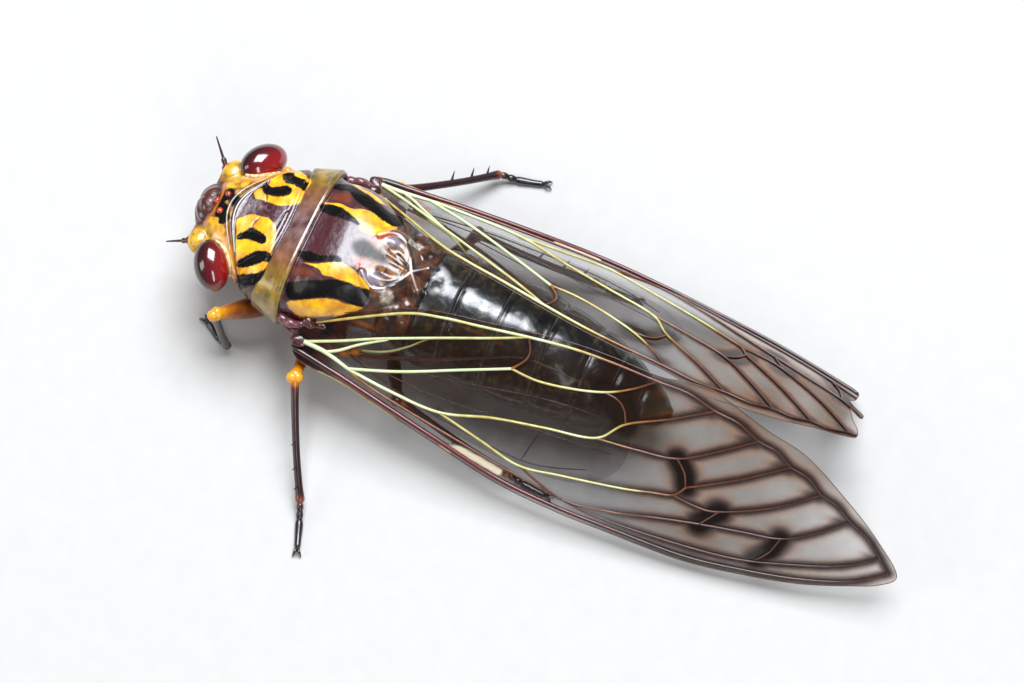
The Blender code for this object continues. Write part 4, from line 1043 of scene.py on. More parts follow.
for side_name, side in SIDES:
    flip = np.array((side, 1.0, 1.0))
    knots = [(*(beside_eye(guide, 1.04) * flip), r) for guide, r in zip(LIP_GUIDE, LIP_RADII)]
    pieces = [limb(knots, np.zeros(len(knots)), 18, 0.06)]
    guides = smooth_path([(*guide, 0.0) for guide in LIP_GUIDE], 0.02)[:, :3]
    for hair in range(HAIR_COUNT):
        guide = guides[int((0.06 + 0.86 * hair / (HAIR_COUNT - 1)) * (len(guides) - 1))]
        root = beside_eye(guide, 1.08)
        stray = np.array((0.3 * math.sin(7.1 * hair), 0.3 * math.cos(5.3 * hair), 0.3 * math.sin(2.9 * hair)))
        lean_out = unit_of(np.array(HAIR_LEAN) + stray)
        tip = root + lean_out * HAIR_LENGTH * (0.75 + 0.35 * math.sin(3.7 * hair))
        knots = [(*(between(root, tip, s) * flip), HAIR_RADIUS * (1 - 0.7 * s)) for s in (0.0, 0.5, 1.0)]
        pieces.append(limb(knots, np.zeros(3), 6, 0.1))
    parts = joined(pieces)
    lip = shaped("eye_lip_" + side_name, *parts[:3], straw)

# The feelers are short bristles: two thick rings at the root and then a thread of fine joints,
# all of dark cuticle. Each stands on the plate in front of its eye.
FEELER_ROOT = (3.0, -24.5, 7.1)
FEELER_TIPS = {"left": (3.5, -26.6, 5.9), "right": (-4.8, -26.2, 8.5)}
FEELER_RADII = (0.32, 0.33, 0.2, 0.21, 0.12, 0.09, 0.07, 0.05)
FEELER_SHARES = (-0.1, 0.16, 0.2, 0.36, 0.4, 0.6, 0.8, 0.99)
for side_name, side in SIDES:
    root = np.array((FEELER_ROOT[0] * side, FEELER_ROOT[1], FEELER_ROOT[2]))
    tip = np.array(FEELER_TIPS[side_name])
    knots = [(*(root + (tip - root) * t), radius_of) for t, radius_of in zip(FEELER_SHARES, FEELER_RADII)]
    parts = limb(knots, np.linspace(0.55, 0.95, len(knots)), 16, 0.05)
    feeler = tinted("feeler_" + side_name, parts, limb_cuticle)
    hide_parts("antenna_" + side_name)

# The beak is a jointed sheath of brown cuticle round the sucking bristles. At rest it is folded
# back under the head between the fore hips.
BEAK = (
    (0.0, -23.7, 3.7, 0.8), (0.0, -23.35, 2.95, 0.68), (0.0, -22.0, 1.92, 0.56),
    (0.0, -20.6, 1.62, 0.44), (0.0, -19.0, 1.45, 0.41),
    (0.0, -18.8, 1.43, 0.36), (0.0, -17.0, 1.3, 0.36), (0.0, -15.45, 1.2, 0.2),
)
BEAK_TINTS = (0.35, 0.35, 0.38, 0.45, 0.5, 0.5, 0.65, 0.95)
parts = limb(BEAK, BEAK_TINTS, 24, 0.1)
beak = tinted("beak", parts, limb_cuticle)
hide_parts("rostrum")

# The opercula are two oval plates of thin brown cuticle that cover the hearing organs.
# They grow from the hind thorax and lie against the root of the abdomen below.
OPERCULUM = ((2.3, -4.6, 1.75), (1.5, 2.1, 0.85), (0.35, 0.0, 1.0))
for side_name, side in SIDES:
    leaf, quads, fans = egg(sided(OPERCULUM, side), 64, 40)
    leaf[:, 2] = np.maximum(leaf[:, 2], 0.62 + 0.12 * np.cos(leaf[:, 1] * 4.0) ** 2 * 0.3)
    cover = shaped("operculum_leaf_" + side_name, leaf, quads, fans, limb_cuticle)
    mark(cover, "tint", 0.3 + 0.25 * rise(np.abs(leaf[:, 0]), 2.0, 4.0))
    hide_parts("operculum_" + side_name)

# The wing hinge is a wrinkled bar and a crowd of lobes of thick cuticle on the side of the
# thorax. Tanned almost to maroon, and paler pink on the bar, it shines as if polished.
HINGE_BAR = (
    (5.65, -16.3, 7.15, 0.24), (5.95, -15.9, 7.3, 0.36), (6.05, -15.5, 7.32, 0.33), (6.15, -15.1, 7.42, 0.36),
    (6.1, -14.75, 7.5, 0.3), (6.05, -14.4, 7.62, 0.29), (5.85, -14.0, 7.82, 0.2),
)
HINGE_PINKS = (0.5, 0.9, 0.6, 1.0, 0.6, 0.7, 0.3)
HINGE_LOBES = (
    ((5.2, -13.2, 7.1), (0.8, 2.2, 1.0), 0.0), ((5.5, -14.9, 5.9), (0.55, 1.2, 1.4), 0.0),
    ((6.15, -14.5, 6.7), (0.4, 0.75, 0.55), 0.1), ((5.75, -13.7, 8.15), (0.45, 0.55, 0.3), 0.2),
    ((6.4, -14.75, 6.95), (0.3, 0.85, 0.3), 0.3), ((6.85, -14.05, 6.75), (0.5, 0.6, 0.22), 0.05),
)
LOBE_AXIS = (0.15, 0.1, 1.0)
maroon, maroon_shader = new_material("maroon_hinge_sclerite", {
    "IOR": 1.56, "Roughness": 0.3, "Coat Weight": 0.7, "Coat Roughness": 0.1,
})
maroon_place = add(maroon, "ShaderNodeTexCoord", {}).outputs["Object"]
maroon_noise = add(
    maroon, "ShaderNodeTexNoise", {"Scale": 1 / (0.5 * MM), "Detail": 4.0}, {"Vector": maroon_place}
)
maroon_deep = blotched(maroon, maroon_noise.outputs["Fac"], "#1c0706", "#561614", 0.35, 0.65)
maroon_deep = painted(maroon, maroon_deep, "#6c3a42", "pink", 0.2, 0.9)
feed(maroon_shader, "Base Color", maroon_deep)
maroon_relief = add(
    maroon, "ShaderNodeBump", {"Strength": 1.0, "Distance": 0.12 * MM},
    {"Height": maroon_noise.outputs["Fac"]},
)
feed(maroon_shader, "Normal", maroon_relief.outputs["Normal"])
for side_name, side in SIDES:
    bar = [(x * side, y, z, r) for x, y, z, r in HINGE_BAR]
    lobes = [limb(bar, HINGE_PINKS, 24, 0.06)]
    for centre, radii, pinkness in HINGE_LOBES:
        ball = sided((centre, radii, LOBE_AXIS), side)
        lobe, quads, fans = egg(ball, 48, 32)
        wrinkle = np.sin(6.3 * np.abs(lobe[:, 0]) + 1.0) * np.sin(5.1 * lobe[:, 1])
        wrinkle = wrinkle + 0.5 * np.sin(9.7 * lobe[:, 2])
        lobe = ball[0] + (lobe - ball[0]) * (1 + 0.1 * wrinkle)[:, None]
        lobes.append((lobe, quads, fans, np.full(len(lobe), pinkness)))
    parts = joined(lobes)
    hinge = shaped("wing_hinge_" + side_name, *parts[:3], maroon)
    mark(hinge, "pink", parts[3])

# Legs: coxa, trochanter, thick femur, slim spiny tibia and a foot of three short joints, one
# smooth shell each, with the soft joints as waists. The claws are separate hooks.
LEG_ROOTS = {
    "fore": ((2.0, -18.8, 3.4), (3.3, -17.6, 2.3)),
    "mid": ((2.0, -13.8, 3.0), (3.7, -14.2, 2.2)),
    "hind": ((2.2, -9.0, 3.0), (3.5, -8.2, 2.0)),
}
LEG_BENDS = {
    "fore_left": ((7.25, -20.75, 5.9), (7.6, -19.9, 0.95), (6.2, -22.4, 0.28)),
    "fore_right": ((-5.7, -21.0, 4.2), (-6.4, -19.8, 0.95), (-5.6, -22.6, 0.28)),
    "mid_left": ((9.1, -13.45, 5.0), (16.5, -9.75, 0.95), (19.8, -8.5, 0.28)),
    "mid_right": ((-8.0, -12.6, 4.4), (-13.5, -7.0, 0.95), (-14.4, -3.6, 0.28)),
    "hind_left": ((7.2, -6.0, 3.9), (8.3, 3.4, 0.95), (8.5, 6.6, 0.28)),
    "hind_right": ((-7.2, -6.0, 3.9), (-8.3, 3.4, 0.95), (-8.5, 6.6, 0.28)),
}
COXA_PLACES = ((0.0, 0.78), (0.5, 0.8), (0.85, 0.7), (1.12, 0.5), (1.25, 0.42))
# Along the shin from the knee: place, radius and how much of the bend it has there.
TIBIA_PLACES = (
    (-0.02, 0.42, 0.0), (0.05, 0.36, 0.1), (0.12, 0.31, 0.3), (0.3, 0.29, 0.8), (0.6, 0.28, 1.0),
    (0.85, 0.3, 0.5), (0.93, 0.33, 0.2), (0.98, 0.36, 0.1), (1.02, 0.3, 0.0),
)
TIBIA_BEND = 0.12
COXA_TINTS = (0.42, 0.4, 0.35, 0.5, 0.55)
TIBIA_TINTS = (0.3, 0.74, 0.8, 0.84, 0.86, 0.84, 0.45, 0.6)
TARSUS_TINTS = (0.6, 0.85, 0.95, 0.95, 0.97, 0.98, 0.98, 0.98)
FEMUR_THICK = {"fore": 0.8, "mid": 0.58, "hind": 0.55}
KNEE_TINTS = (0.58, 0.52, 0.47, 0.44, 0.34, 0.12, 0.0, 0.05)
KNEE_LOBE = (0.44, 0.46, 0.47)
KNEE_SPREAD = 0.19
FEMUR_TINTS = {"fore": KNEE_TINTS, "mid": KNEE_TINTS, "hind": (0.75, 0.78, 0.8, 0.8, 0.78, 0.7, 0.6, 0.6)}
FEMUR_SPINES = ((0.3, 1.35), (0.48, 1.4), (0.64, 1.25))
TIBIA_SPURS = ((0.5, 0.85), (0.7, 0.85), (0.86, 0.8))
TARSUS_PLACES = (
    (0.0, 0.24), (0.12, 0.27), (0.2, 0.22), (0.28, 0.28), (0.38, 0.23), (0.48, 0.3), (0.75, 0.26),
    (0.97, 0.24),
)
CLAW_LENGTH = 0.75
CLAW_SPLAY = 0.45


def thorns(start, end, lean, rows_of, radius_of, tint):
    """Tapered spines along a limb, standing towards the lean."""
    way = unit_of(between(start, end, 1.0) - np.array(start))
    outward_way = np.array(lean, float)
    outward_way = unit_of(outward_way - way * (outward_way @ way))
    made = []
    for share_of, reach_out in rows_of:
        root = between(start, end, share_of)
        tip = root + outward_way * reach_out + way * reach_out * 0.4
        knots = [(*between(root, tip, t), radius_of * (1 - 0.85 * t)) for t in (0.0, 0.5, 1.0)]
        made.append(limb(knots, (tint, tint, tint + 0.2), 12, 0.1))
    return made


for leg_name, (knee, ankle, foot) in LEG_BENDS.items():
    pair, side_name = leg_name.split("_")
    side = dict(SIDES)[side_name]
    hip, socket = (np.array(spot) * (side, 1.0, 1.0) for spot in LEG_ROOTS[pair])
    thick = FEMUR_THICK[pair]
    pieces = []
    coxa = [(*between(hip, socket, t), r) for t, r in COXA_PLACES]
    pieces.append(limb(coxa, COXA_TINTS))
    femur_places = (
        (0.03, 0.42), (0.12, 0.5), (0.3, thick), (0.55, thick * 0.95), (0.8, thick * 0.72), (0.92, 0.46),
        (1.0, 0.56), (1.05, 0.4),
    )
    femur = [(*between(socket, knee, t), r) for t, r in femur_places]
    pieces.append(limb(femur, FEMUR_TINTS[pair]))
    across_leg = unit_of(np.cross(np.subtract(ankle, knee), (0.0, 0.0, 1.0)))
    bend = across_leg * TIBIA_BEND
    for spread in (-KNEE_SPREAD, KNEE_SPREAD):
        lobe, quads, fans = egg((np.array(knee) + across_leg * spread, KNEE_LOBE, (0, 0, 1)), 24, 16)
        pieces.append((lobe, quads, fans, np.full(len(lobe), FEMUR_TINTS[pair][-2])))
    tibia = [(*(between(knee, ankle, t) + bend * b), r) for t, r, b in TIBIA_PLACES]
    pieces.append(limb(tibia, (FEMUR_TINTS[pair][-1], *TIBIA_TINTS), 20))
    toe = np.array(foot)
    ball = between(ankle, foot, 0.45)
    ball[2] = toe[2]
    path = smooth_path([(*ankle, 0.0), (*ball, 0.5), (*toe, 1.0)], 0.1)
    tarsus = []
    for t, r in TARSUS_PLACES:
        spot = [np.interp(t, path[:, 3], path[:, k]) for k in range(3)]
        tarsus.append((*spot, r))
    pieces.append(limb(tarsus, TARSUS_TINTS, 20, 0.06, 0.0))
    if pair == "fore":
        pieces += thorns(socket, knee, (0.0, 0.0, -1.0), FEMUR_SPINES, 0.2, 0.5)
    else:
        pieces += thorns(knee, ankle, (side, 0.0, 0.3), TIBIA_SPURS, 0.13, 0.9)
    parts = joined(pieces)
    leg = tinted("leg_" + leg_name, parts, limb_cuticle)
    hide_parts("coxa_" + leg_name, "femur_" + leg_name, "tibia_" + leg_name, "tarsus_" + leg_name)
    forward = unit_of(toe - ball)
    sideways = np.array((-forward[1], forward[0], 0.0))
    claw_root = between(ball, toe, 0.9)
    hooks = []
    for splay in (-CLAW_SPLAY, CLAW_SPLAY):
        claw_tip = claw_root + unit_of(forward + sideways * splay) * CLAW_LENGTH
        crook = between(claw_root, claw_tip, 0.6) + (0, 0, 0.16)
        knots = [(*claw_root, 0.16), (*crook, 0.11), (claw_tip[0], claw_tip[1], 0.1, 0.04)]
        hooks.append(limb(knots, (0.9, 0.95, 1.0), 14, 0.05))
    parts = joined(hooks)
    claws = tinted("claws_" + leg_name, parts, limb_cuticle)

# Wings. Each forewing is one clear membrane of dry cuticle a few hundredths of a millimetre
# thick, held out by hollow veins. The membrane is a closed thin shell over the same roof
# surface as the solid one, and the veins are round tubes that stand out of both its faces.
WING_ROOT = np.array((5.6, -13.6, 8.0))
ROOF_SLOPE = math.radians(39.7)
TOE_IN = math.radians(0.7)
RISE = math.radians(1.97)
WING_LENGTH = 46.0
TIP_DROOP = 4.34
CAMBER = 0.76
CAMBER_MIDDLE = 2.0
CAMBER_SPAN = 7.0
MEMBRANE_THICK = 0.04
MEMBRANE_STEP = 0.2
RIM_ANGLE = math.radians(50)
BILLOW = 0.07
BILLOW_REACH = 1.2
VEIN_SMOKE = 0.85
VEIN_SMOKE_WIDTH = 0.44
VEIN_SMOKE_FROM = (19.0, 30.0)
BORDER_SMOKE = 0.08
BORDER_SMOKE_FROM = (3.0, 20.0)
ROOT_SMOKE = 0.85
ROOT_SMOKE_TO = (0.6, 3.6)
OUTER_FROM = (24.0, 30.0)
STREAK_WIDTH = 0.38
VEIN_LIFT = 0.08
VEIN_SCALE = 0.74
VEIN_SIDES = 10
VEIN_STEP = 0.16
RIM_PARTS = 12
HEM_RADIUS = 0.04
HEM_TINT = 0.7
OLIVE_TINT = 0.27
OLIVE_EDGE = (1.4, 8.0)
OUTLINE = (
    (-0.6, -3.0), (3.9, -3.9), (10.8, -5.7), (16.4, -7.2), (21.1, -7.8), (25.1, -8.0), (30.9, -8.2),
    (35.3, -7.7), (39.5, -6.9), (43.1, -5.7), (45.2, -4.8), (46.1, -3.6), (43.9, -1.3), (41.3, 0.7),
    (37.4, 3.1), (34.0, 4.1), (30.8, 5.2), (29.5, 5.6), (27.8, 5.6), (25.5, 5.3), (22.1, 5.5),
    (19.0, 5.5), (15.7, 5.2), (12.0, 4.7), (9.1, 4.3), (6.2, 3.5), (2.0, 1.5), (-0.2, 0.5),
)
TORN_EDGE = (
    (37.8, -7.2), (38.2, -5.4), (38.0, -4.1), (39.3, -3.1), (39.2, -2.5), (38.3, -3.1), (38.8, -1.6),
    (39.6, -0.3), (39.6, 0.9), (37.4, 2.2),
)
BREAK_AT = 37.6
torn_outline = [point for point in OUTLINE if point[0] < BREAK_AT and point[1] < -2.0]
torn_outline += TORN_EDGE
torn_outline += [point for point in OUTLINE if point[0] < BREAK_AT - 0.5 and point[1] > -2.0]

# Each vein's knots along and across the wing, with its radius and its tint there. The tint
# runs from cream through golden and red-brown to a purple-brown that is almost black.
VEINS = {
    "ambient": (
        (0.4, 0.1, 0.13, 0.3), (6.2, 3.1, 0.14, 0.2), (9.1, 3.9, 0.14, 0.15), (12.0, 4.3, 0.14, 0.1),
        (15.7, 4.8, 0.14, 0.05), (19.0, 5.1, 0.13, 0.2), (22.1, 5.1, 0.12, 0.45), (25.5, 4.9, 0.11, 0.6),
        (27.9, 4.8, 0.1, 0.62), (30.1, 4.2, 0.1, 0.65), (32.0, 3.88, 0.1, 0.7), (33.7, 3.1, 0.1, 0.75),
        (35.2, 2.78, 0.1, 0.78), (36.5, 2.0, 0.1, 0.8), (37.95, 1.6, 0.1, 0.8), (39.2, 0.7, 0.1, 0.82),
        (40.55, 0.25, 0.1, 0.84), (41.7, -0.6, 0.1, 0.85), (43.3, -1.45, 0.1, 0.85),
        (44.6, -2.7, 0.1, 0.85), (45.5, -3.7, 0.1, 0.85),
    ),
    "costal": (
        (-0.95, -2.35, 0.1, 0.9), (-0.75, -2.45, 0.24, 0.9), (-0.4, -2.55, 0.29, 0.92),
        (1.9, -3.05, 0.29, 0.94), (3.9, -3.5, 0.29, 1.0), (10.8, -5.3, 0.27, 1.05),
        (16.4, -6.8, 0.25, 1.05), (21.1, -7.4, 0.22, 1.0), (25.1, -7.6, 0.2, 0.96), (30.9, -7.8, 0.18, 0.88),
        (35.3, -7.3, 0.16, 0.85), (39.5, -6.5, 0.14, 0.82), (43.1, -5.3, 0.12, 0.8), (45.5, -3.7, 0.1, 0.8),
    ),
    "anal": (
        (-0.1, -1.7, 0.16, 0.1), (2.5, -0.6, 0.15, 0.05), (5.3, 0.7, 0.14, 0.05), (9.5, 2.4, 0.13, 0.1),
        (12.7, 3.6, 0.13, 0.15), (14.5, 4.3, 0.12, 0.2), (15.7, 4.8, 0.11, 0.2),
    ),
    "base": ((-0.1, -1.7, 0.26, 0.0), (1.7, -1.9, 0.23, 0.0), (3.6, -2.5, 0.17, 0.0)),
    "base_fork": (
        (1.5, -1.93, 0.15, 0.0), (2.6, -1.35, 0.16, 0.0), (4.0, -0.3, 0.14, 0.0), (5.9, 0.85, 0.11, 0.0),
    ),
    "cubital": (
        (3.6, -2.5, 0.16, 0.0), (7.4, -1.2, 0.15, 0.0), (11.6, 0.6, 0.14, 0.0), (15.2, 2.1, 0.14, 0.0),
    ),
    "cubital_cross": (
        (15.2, 2.1, 0.12, 0.4), (16.0, 3.1, 0.11, 0.6), (16.1, 3.9, 0.11, 0.6), (15.7, 4.8, 0.11, 0.6),
    ),
    "cubital_outer": (
        (15.2, 2.1, 0.13, 0.35), (17.2, 1.9, 0.12, 0.25), (19.7, 2.2, 0.12, 0.15), (22.1, 2.8, 0.11, 0.1),
        (23.9, 3.7, 0.1, 0.5), (25.5, 4.9, 0.1, 0.7),
    ),
    "fork_cross": (
        (22.1, 2.8, 0.09, 0.6), (23.2, 2.6, 0.09, 0.6), (23.9, 2.0, 0.09, 0.6), (24.3, 1.0, 0.09, 0.6),
    ),
    "median": (
        (3.6, -2.5, 0.17, 0.0), (7.1, -3.0, 0.16, 0.0), (11.0, -3.2, 0.14, 0.1), (14.9, -2.1, 0.13, 0.2),
        (18.8, -1.4, 0.12, 0.15), (22.5, -0.8, 0.12, 0.1), (24.3, 1.0, 0.11, 0.3), (27.2, 2.5, 0.1, 0.6),
        (30.1, 4.2, 0.09, 0.75),
    ),
    "median_inner": (
        (22.5, -0.8, 0.11, 0.5), (25.7, -0.6, 0.1, 0.55), (28.6, -0.2, 0.1, 0.65), (31.3, 1.4, 0.09, 0.7),
        (33.7, 3.1, 0.09, 0.78),
    ),
    "median_cross": ((28.6, -0.2, 0.09, 0.6), (29.4, -1.1, 0.09, 0.6), (29.8, -2.2, 0.09, 0.6)),
    "median_outer": ((29.8, -2.2, 0.1, 0.6), (33.3, -0.2, 0.09, 0.7), (36.5, 2.0, 0.09, 0.78)),
    "median_front": (
        (11.0, -3.2, 0.13, 0.2), (14.5, -4.2, 0.12, 0.2), (17.7, -5.1, 0.12, 0.15), (20.8, -4.7, 0.11, 0.15),
        (25.3, -4.0, 0.1, 0.15), (27.5, -3.5, 0.1, 0.45), (29.1, -3.1, 0.1, 0.55), (29.8, -2.2, 0.1, 0.6),
    ),
    "apical_third": (
        (29.1, -3.1, 0.09, 0.6), (31.0, -3.4, 0.09, 0.65), (32.6, -3.2, 0.09, 0.7), (36.0, -1.6, 0.09, 0.75),
        (39.2, 0.7, 0.09, 0.8),
    ),
    "apical_cross": ((32.6, -3.2, 0.09, 0.7), (31.5, -4.7, 0.09, 0.7)),
    "sector": (
        (17.7, -5.1, 0.12, 0.55), (21.4, -6.6, 0.11, 0.65), (25.1, -6.2, 0.1, 0.55), (28.3, -5.4, 0.1, 0.65),
        (31.5, -4.7, 0.1, 0.7), (34.5, -4.2, 0.09, 0.75), (37.4, -3.7, 0.09, 0.75), (39.6, -2.4, 0.09, 0.8),
        (41.7, -0.6, 0.09, 0.8),
    ),
    "sector_cross": ((37.4, -3.7, 0.09, 0.7), (36.9, -5.1, 0.09, 0.7), (36.1, -6.1, 0.09, 0.7)),
    "radial": (
        (21.4, -6.6, 0.11, 0.6), (24.0, -7.0, 0.11, 0.7), (28.7, -7.0, 0.1, 0.75), (34.4, -6.6, 0.1, 0.75),
        (38.7, -5.5, 0.09, 0.78), (42.1, -4.3, 0.09, 0.8), (44.6, -2.7, 0.08, 0.8),
    ),
    "subcostal": (
        (3.6, -2.5, 0.16, 0.3), (6.0, -3.4, 0.15, 0.5), (12.9, -4.9, 0.13, 0.6), (16.5, -5.7, 0.12, 0.65),
        (21.4, -6.6, 0.12, 0.7),
    ),
}
CLOUD_LINES = {
    "median_cross": (0.9, 1.3), "apical_cross": (1.05, 1.3), "sector_cross": (0.95, 1.2),
    "fork_cross": (0.95, 1.2), "cubital_cross": (0.35, 0.7),
}
# Dark ends of the long veins where they reach the ambient vein: place, half length along the
# wing, half width and strength.
CLOUD_ENDS = (
    ((25.0, 4.4), 0.9, 0.45, 0.6), ((29.6, 3.9), 1.1, 0.5, 0.8), ((33.2, 2.8), 1.1, 0.5, 0.85),
    ((36.1, 1.7), 1.1, 0.5, 0.85), ((38.8, 0.4), 1.0, 0.5, 0.85), ((41.3, -0.9), 1.0, 0.45, 0.8),
    ((44.2, -2.9), 0.9, 0.4, 0.7), ((29.2, -3.0), 0.7, 0.35, 0.5), ((11.0, -3.2), 0.35, 0.3, 0.5),
)
# Coloured fields near the wing base: place, half length, half width and strength.
AMBER_FIELDS = (
    ((2.9, -1.4), 0.5, 0.34, 0.8), ((3.8, -1.05), 0.42, 0.26, 0.7), ((8.5, -1.5), 1.6, 0.3, 0.15),
    ((11.8, -1.6), 1.6, 0.25, 0.15),
    ((11.9, 3.8), 1.8, 0.2, 0.3), ((13.6, 3.6), 0.7, 0.2, 0.25), ((3.6, 1.3), 1.6, 0.2, 0.5),
)
CREAM_STREAK = {
    1.0: ((11.9, -6.0), (13.2, -5.6), (15.0, -5.9), (16.9, -6.3)),
    -1.0: ((13.2, -5.5), (15.0, -5.9), (16.8, -6.3)),
}


def on_wing(side, u, v, lift):
    """Points of the roof that a forewing makes, lifted along its normal, in millimetres."""
    level = math.cos(RISE)
    along_wing = np.array((-math.sin(TOE_IN) * level, math.cos(TOE_IN) * level, math.sin(RISE)))
    across_wing = np.array((-math.cos(ROOF_SLOPE), 0.0, math.sin(ROOF_SLOPE)))
    across_wing = across_wing - (across_wing @ along_wing) * along_wing
    across_wing /= np.linalg.norm(across_wing)
    up_from_wing = np.cross(across_wing, along_wing)
    up_from_wing = up_from_wing * np.sign(up_from_wing[2])
    droop = TIP_DROOP * (u / WING_LENGTH) ** 2 + CAMBER * ((v - CAMBER_MIDDLE) / CAMBER_SPAN) ** 2
    spots = WING_ROOT + u[..., None] * along_wing + v[..., None] * across_wing
    spots = spots + (lift - droop)[..., None] * up_from_wing
    return spots * np.array((side, 1.0, 1.0))


def cut_sheet(outline, step):
    """Points and triangles that fill a smooth outline with an even grid."""
    rim_line = smooth_loop(outline, RIM_PARTS)
    low = rim_line.min(0)
    high = rim_line.max(0)
    u, v = np.meshgrid(np.arange(low[0], high[0], step), np.arange(low[1], high[1], step))
    u = u + step / 2 * (np.arange(u.shape[0]) % 2)[:, None]
    u, v = u.ravel(), v.ravel()
    deep = inside_by_loop(rim_line, u, v) > step * 0.55
    flat = [Vector(spot) for spot in rim_line]
    edges = [(i, (i + 1) % len(rim_line)) for i in range(len(rim_line))]
    flat += [Vector(spot) for spot in zip(u[deep], v[deep])]
    made, _, triangles, _, _, _ = delaunay_2d_cdt(flat, edges, [], 1, 1e-5)
    return np.array([tuple(spot) for spot in made]), np.array(triangles)


def vane(side, flat, triangles, lift):
    """A thin closed shell over the triangles: its points, the quads of its walls and its faces."""
    u, v = flat[:, 0], flat[:, 1]
    over = on_wing(side, u, v, lift + MEMBRANE_THICK / 2)
    under = on_wing(side, u, v, lift - MEMBRANE_THICK / 2)
    count = len(flat)
    borders = {}
    for face in triangles.tolist():
        for a, b in zip(face, face[1:] + face[:1]):
            borders[(a, b)] = True
    walls = [(b, a, a + count, b + count) for a, b in borders if (b, a) not in borders]
    faces = np.vstack([triangles, triangles[:, ::-1] + count])
    return np.vstack([over, under]), np.array(walls), faces


def spots_of(spots, u, v):
    """The strongest of several soft oval spots at each point."""
    value = np.zeros_like(u)
    for (u_at, v_at), half_length, half_width, strength in spots:
        away = ((u - u_at) / half_length) ** 2 + ((v - v_at) / half_width) ** 2
        value = np.maximum(value, strength * np.exp(-away))
    return value


vein_paths = {name: smooth_path(knots, VEIN_STEP) for name, knots in VEINS.items()}
# Dry cuticle, hardly tanned: as clear as thin glass, with brown pigment in it beside the outer
# veins, a cream streak behind the front edge, and a fine crinkle that breaks its gloss.
SMOKE_TINTS = ((0.0, "#6b5638"), (0.2, "#8a5210"), (0.45, "#44200a"), (1.0, "#120703"))
wing_clear, wing_shader = new_material("smoky_wing_membrane", {
    "IOR": 1.56, "Roughness": 0.16,
})
wing_place = add(wing_clear, "ShaderNodeTexCoord", {}).outputs["Object"]
cloud_value = add(wing_clear, "ShaderNodeAttribute", {"attribute_name": "cloud"}).outputs["Fac"]
haze = add(wing_clear, "ShaderNodeTexNoise", {"Scale": 1 / (1.6 * MM), "Detail": 3.0}, {"Vector": wing_place})
haze_level = add(
    wing_clear, "ShaderNodeMapRange", {"From Min": 0.3, "From Max": 0.7, "To Min": -0.03, "To Max": 0.05},
    {"Value": haze.outputs["Fac"]},
).outputs["Result"]
cloud_sum = add(
    wing_clear, "ShaderNodeMath", {"operation": "ADD"}, {0: cloud_value, 1: haze_level}
).outputs[0]
smoke = blotched(wing_clear, cloud_sum, "#2c1709", "#1c0c03", 0.0, 0.6)
smoke_ramp = add(wing_clear, "ShaderNodeValToRGB", {"stops": SMOKE_TINTS}, {"Fac": cloud_sum})
smoke_out = smoke_ramp.outputs["Color"]
smoke = painted(wing_clear, smoke, smoke_out, "outer", 0.0, 1.0)
smoke = painted(wing_clear, smoke, "#b8661a", "amber", 0.1, 0.9)
root_brown = blotched(wing_clear, haze.outputs["Fac"], "#120806", "#4a1a10", 0.4, 0.62)
smoke = painted(wing_clear, smoke, root_brown, "root", 0.0, 0.6)
smoke = painted(wing_clear, smoke, "#f2e3c4", "cream", 0.1, 0.8)
feed(wing_shader, "Base Color", smoke)
amber_value = add(wing_clear, "ShaderNodeAttribute", {"attribute_name": "amber"}).outputs["Fac"]
cream_value = add(wing_clear, "ShaderNodeAttribute", {"attribute_name": "cream"}).outputs["Fac"]
# The membrane is a sixth as solid as the veins where it is clear, and fuller in every mark.
body_of = add(wing_clear, "ShaderNodeMath", {"operation": "MULTIPLY_ADD", 1: 0.8, 2: 0.17}, {0: cloud_sum})
with_amber = add(
    wing_clear, "ShaderNodeMath", {"operation": "MULTIPLY_ADD", 1: 0.75},
    {0: amber_value, 2: body_of.outputs[0]},
)
with_cream = add(
    wing_clear, "ShaderNodeMath", {"operation": "MULTIPLY_ADD", "use_clamp": True, 1: 0.8},
    {0: cream_value, 2: with_amber.outputs[0]},
)
feed(wing_shader, "Alpha", with_cream.outputs[0])
crinkle = add(
    wing_clear, "ShaderNodeTexNoise", {"Scale": 1 / (0.5 * MM), "Detail": 4.0}, {"Vector": wing_place}
)
crinkle_relief = add(
    wing_clear, "ShaderNodeBump", {"Strength": 0.5, "Distance": 0.02 * MM}, {"Height": crinkle.outputs["Fac"]}
)
feed(wing_shader, "Normal", crinkle_relief.outputs["Normal"])

# Hollow tubes of cuticle: pale green-cream where they are soft and full near the root, then
# golden, and red-brown to black where they are tanned hard, with a soft gloss along the top.
vein_cuticle, vein_shader = new_material("hollow_vein_cuticle", {
    "IOR": 1.56, "Roughness": 0.35, "Coat Weight": 0.5, "Coat Roughness": 0.1,
})
vein_tint = add(vein_cuticle, "ShaderNodeAttribute", {"attribute_name": "tint"}).outputs["Fac"]
vein_place = add(vein_cuticle, "ShaderNodeTexCoord", {}).outputs["Object"]
vein_wander = wandering(vein_cuticle, vein_place, 0.7 * MM, 4.0, -0.08, 0.08)
vein_value = add(vein_cuticle, "ShaderNodeMath", {"operation": "ADD"}, {0: vein_tint, 1: vein_wander})
VEIN_TINTS = (
    (0.0, "#ccd8a8"), (0.2, "#bcae5c"), (0.4, "#8f5814"), (0.58, "#5f2807"),
    (0.8, "#391404"), (0.92, "#160803"), (1.0, "#560f10"),
)
vein_ramp = add(
    vein_cuticle, "ShaderNodeValToRGB", {"stops": VEIN_TINTS}, {"Fac": vein_value.outputs[0]}
)
feed(vein_shader, "Base Color", vein_ramp.outputs["Color"])


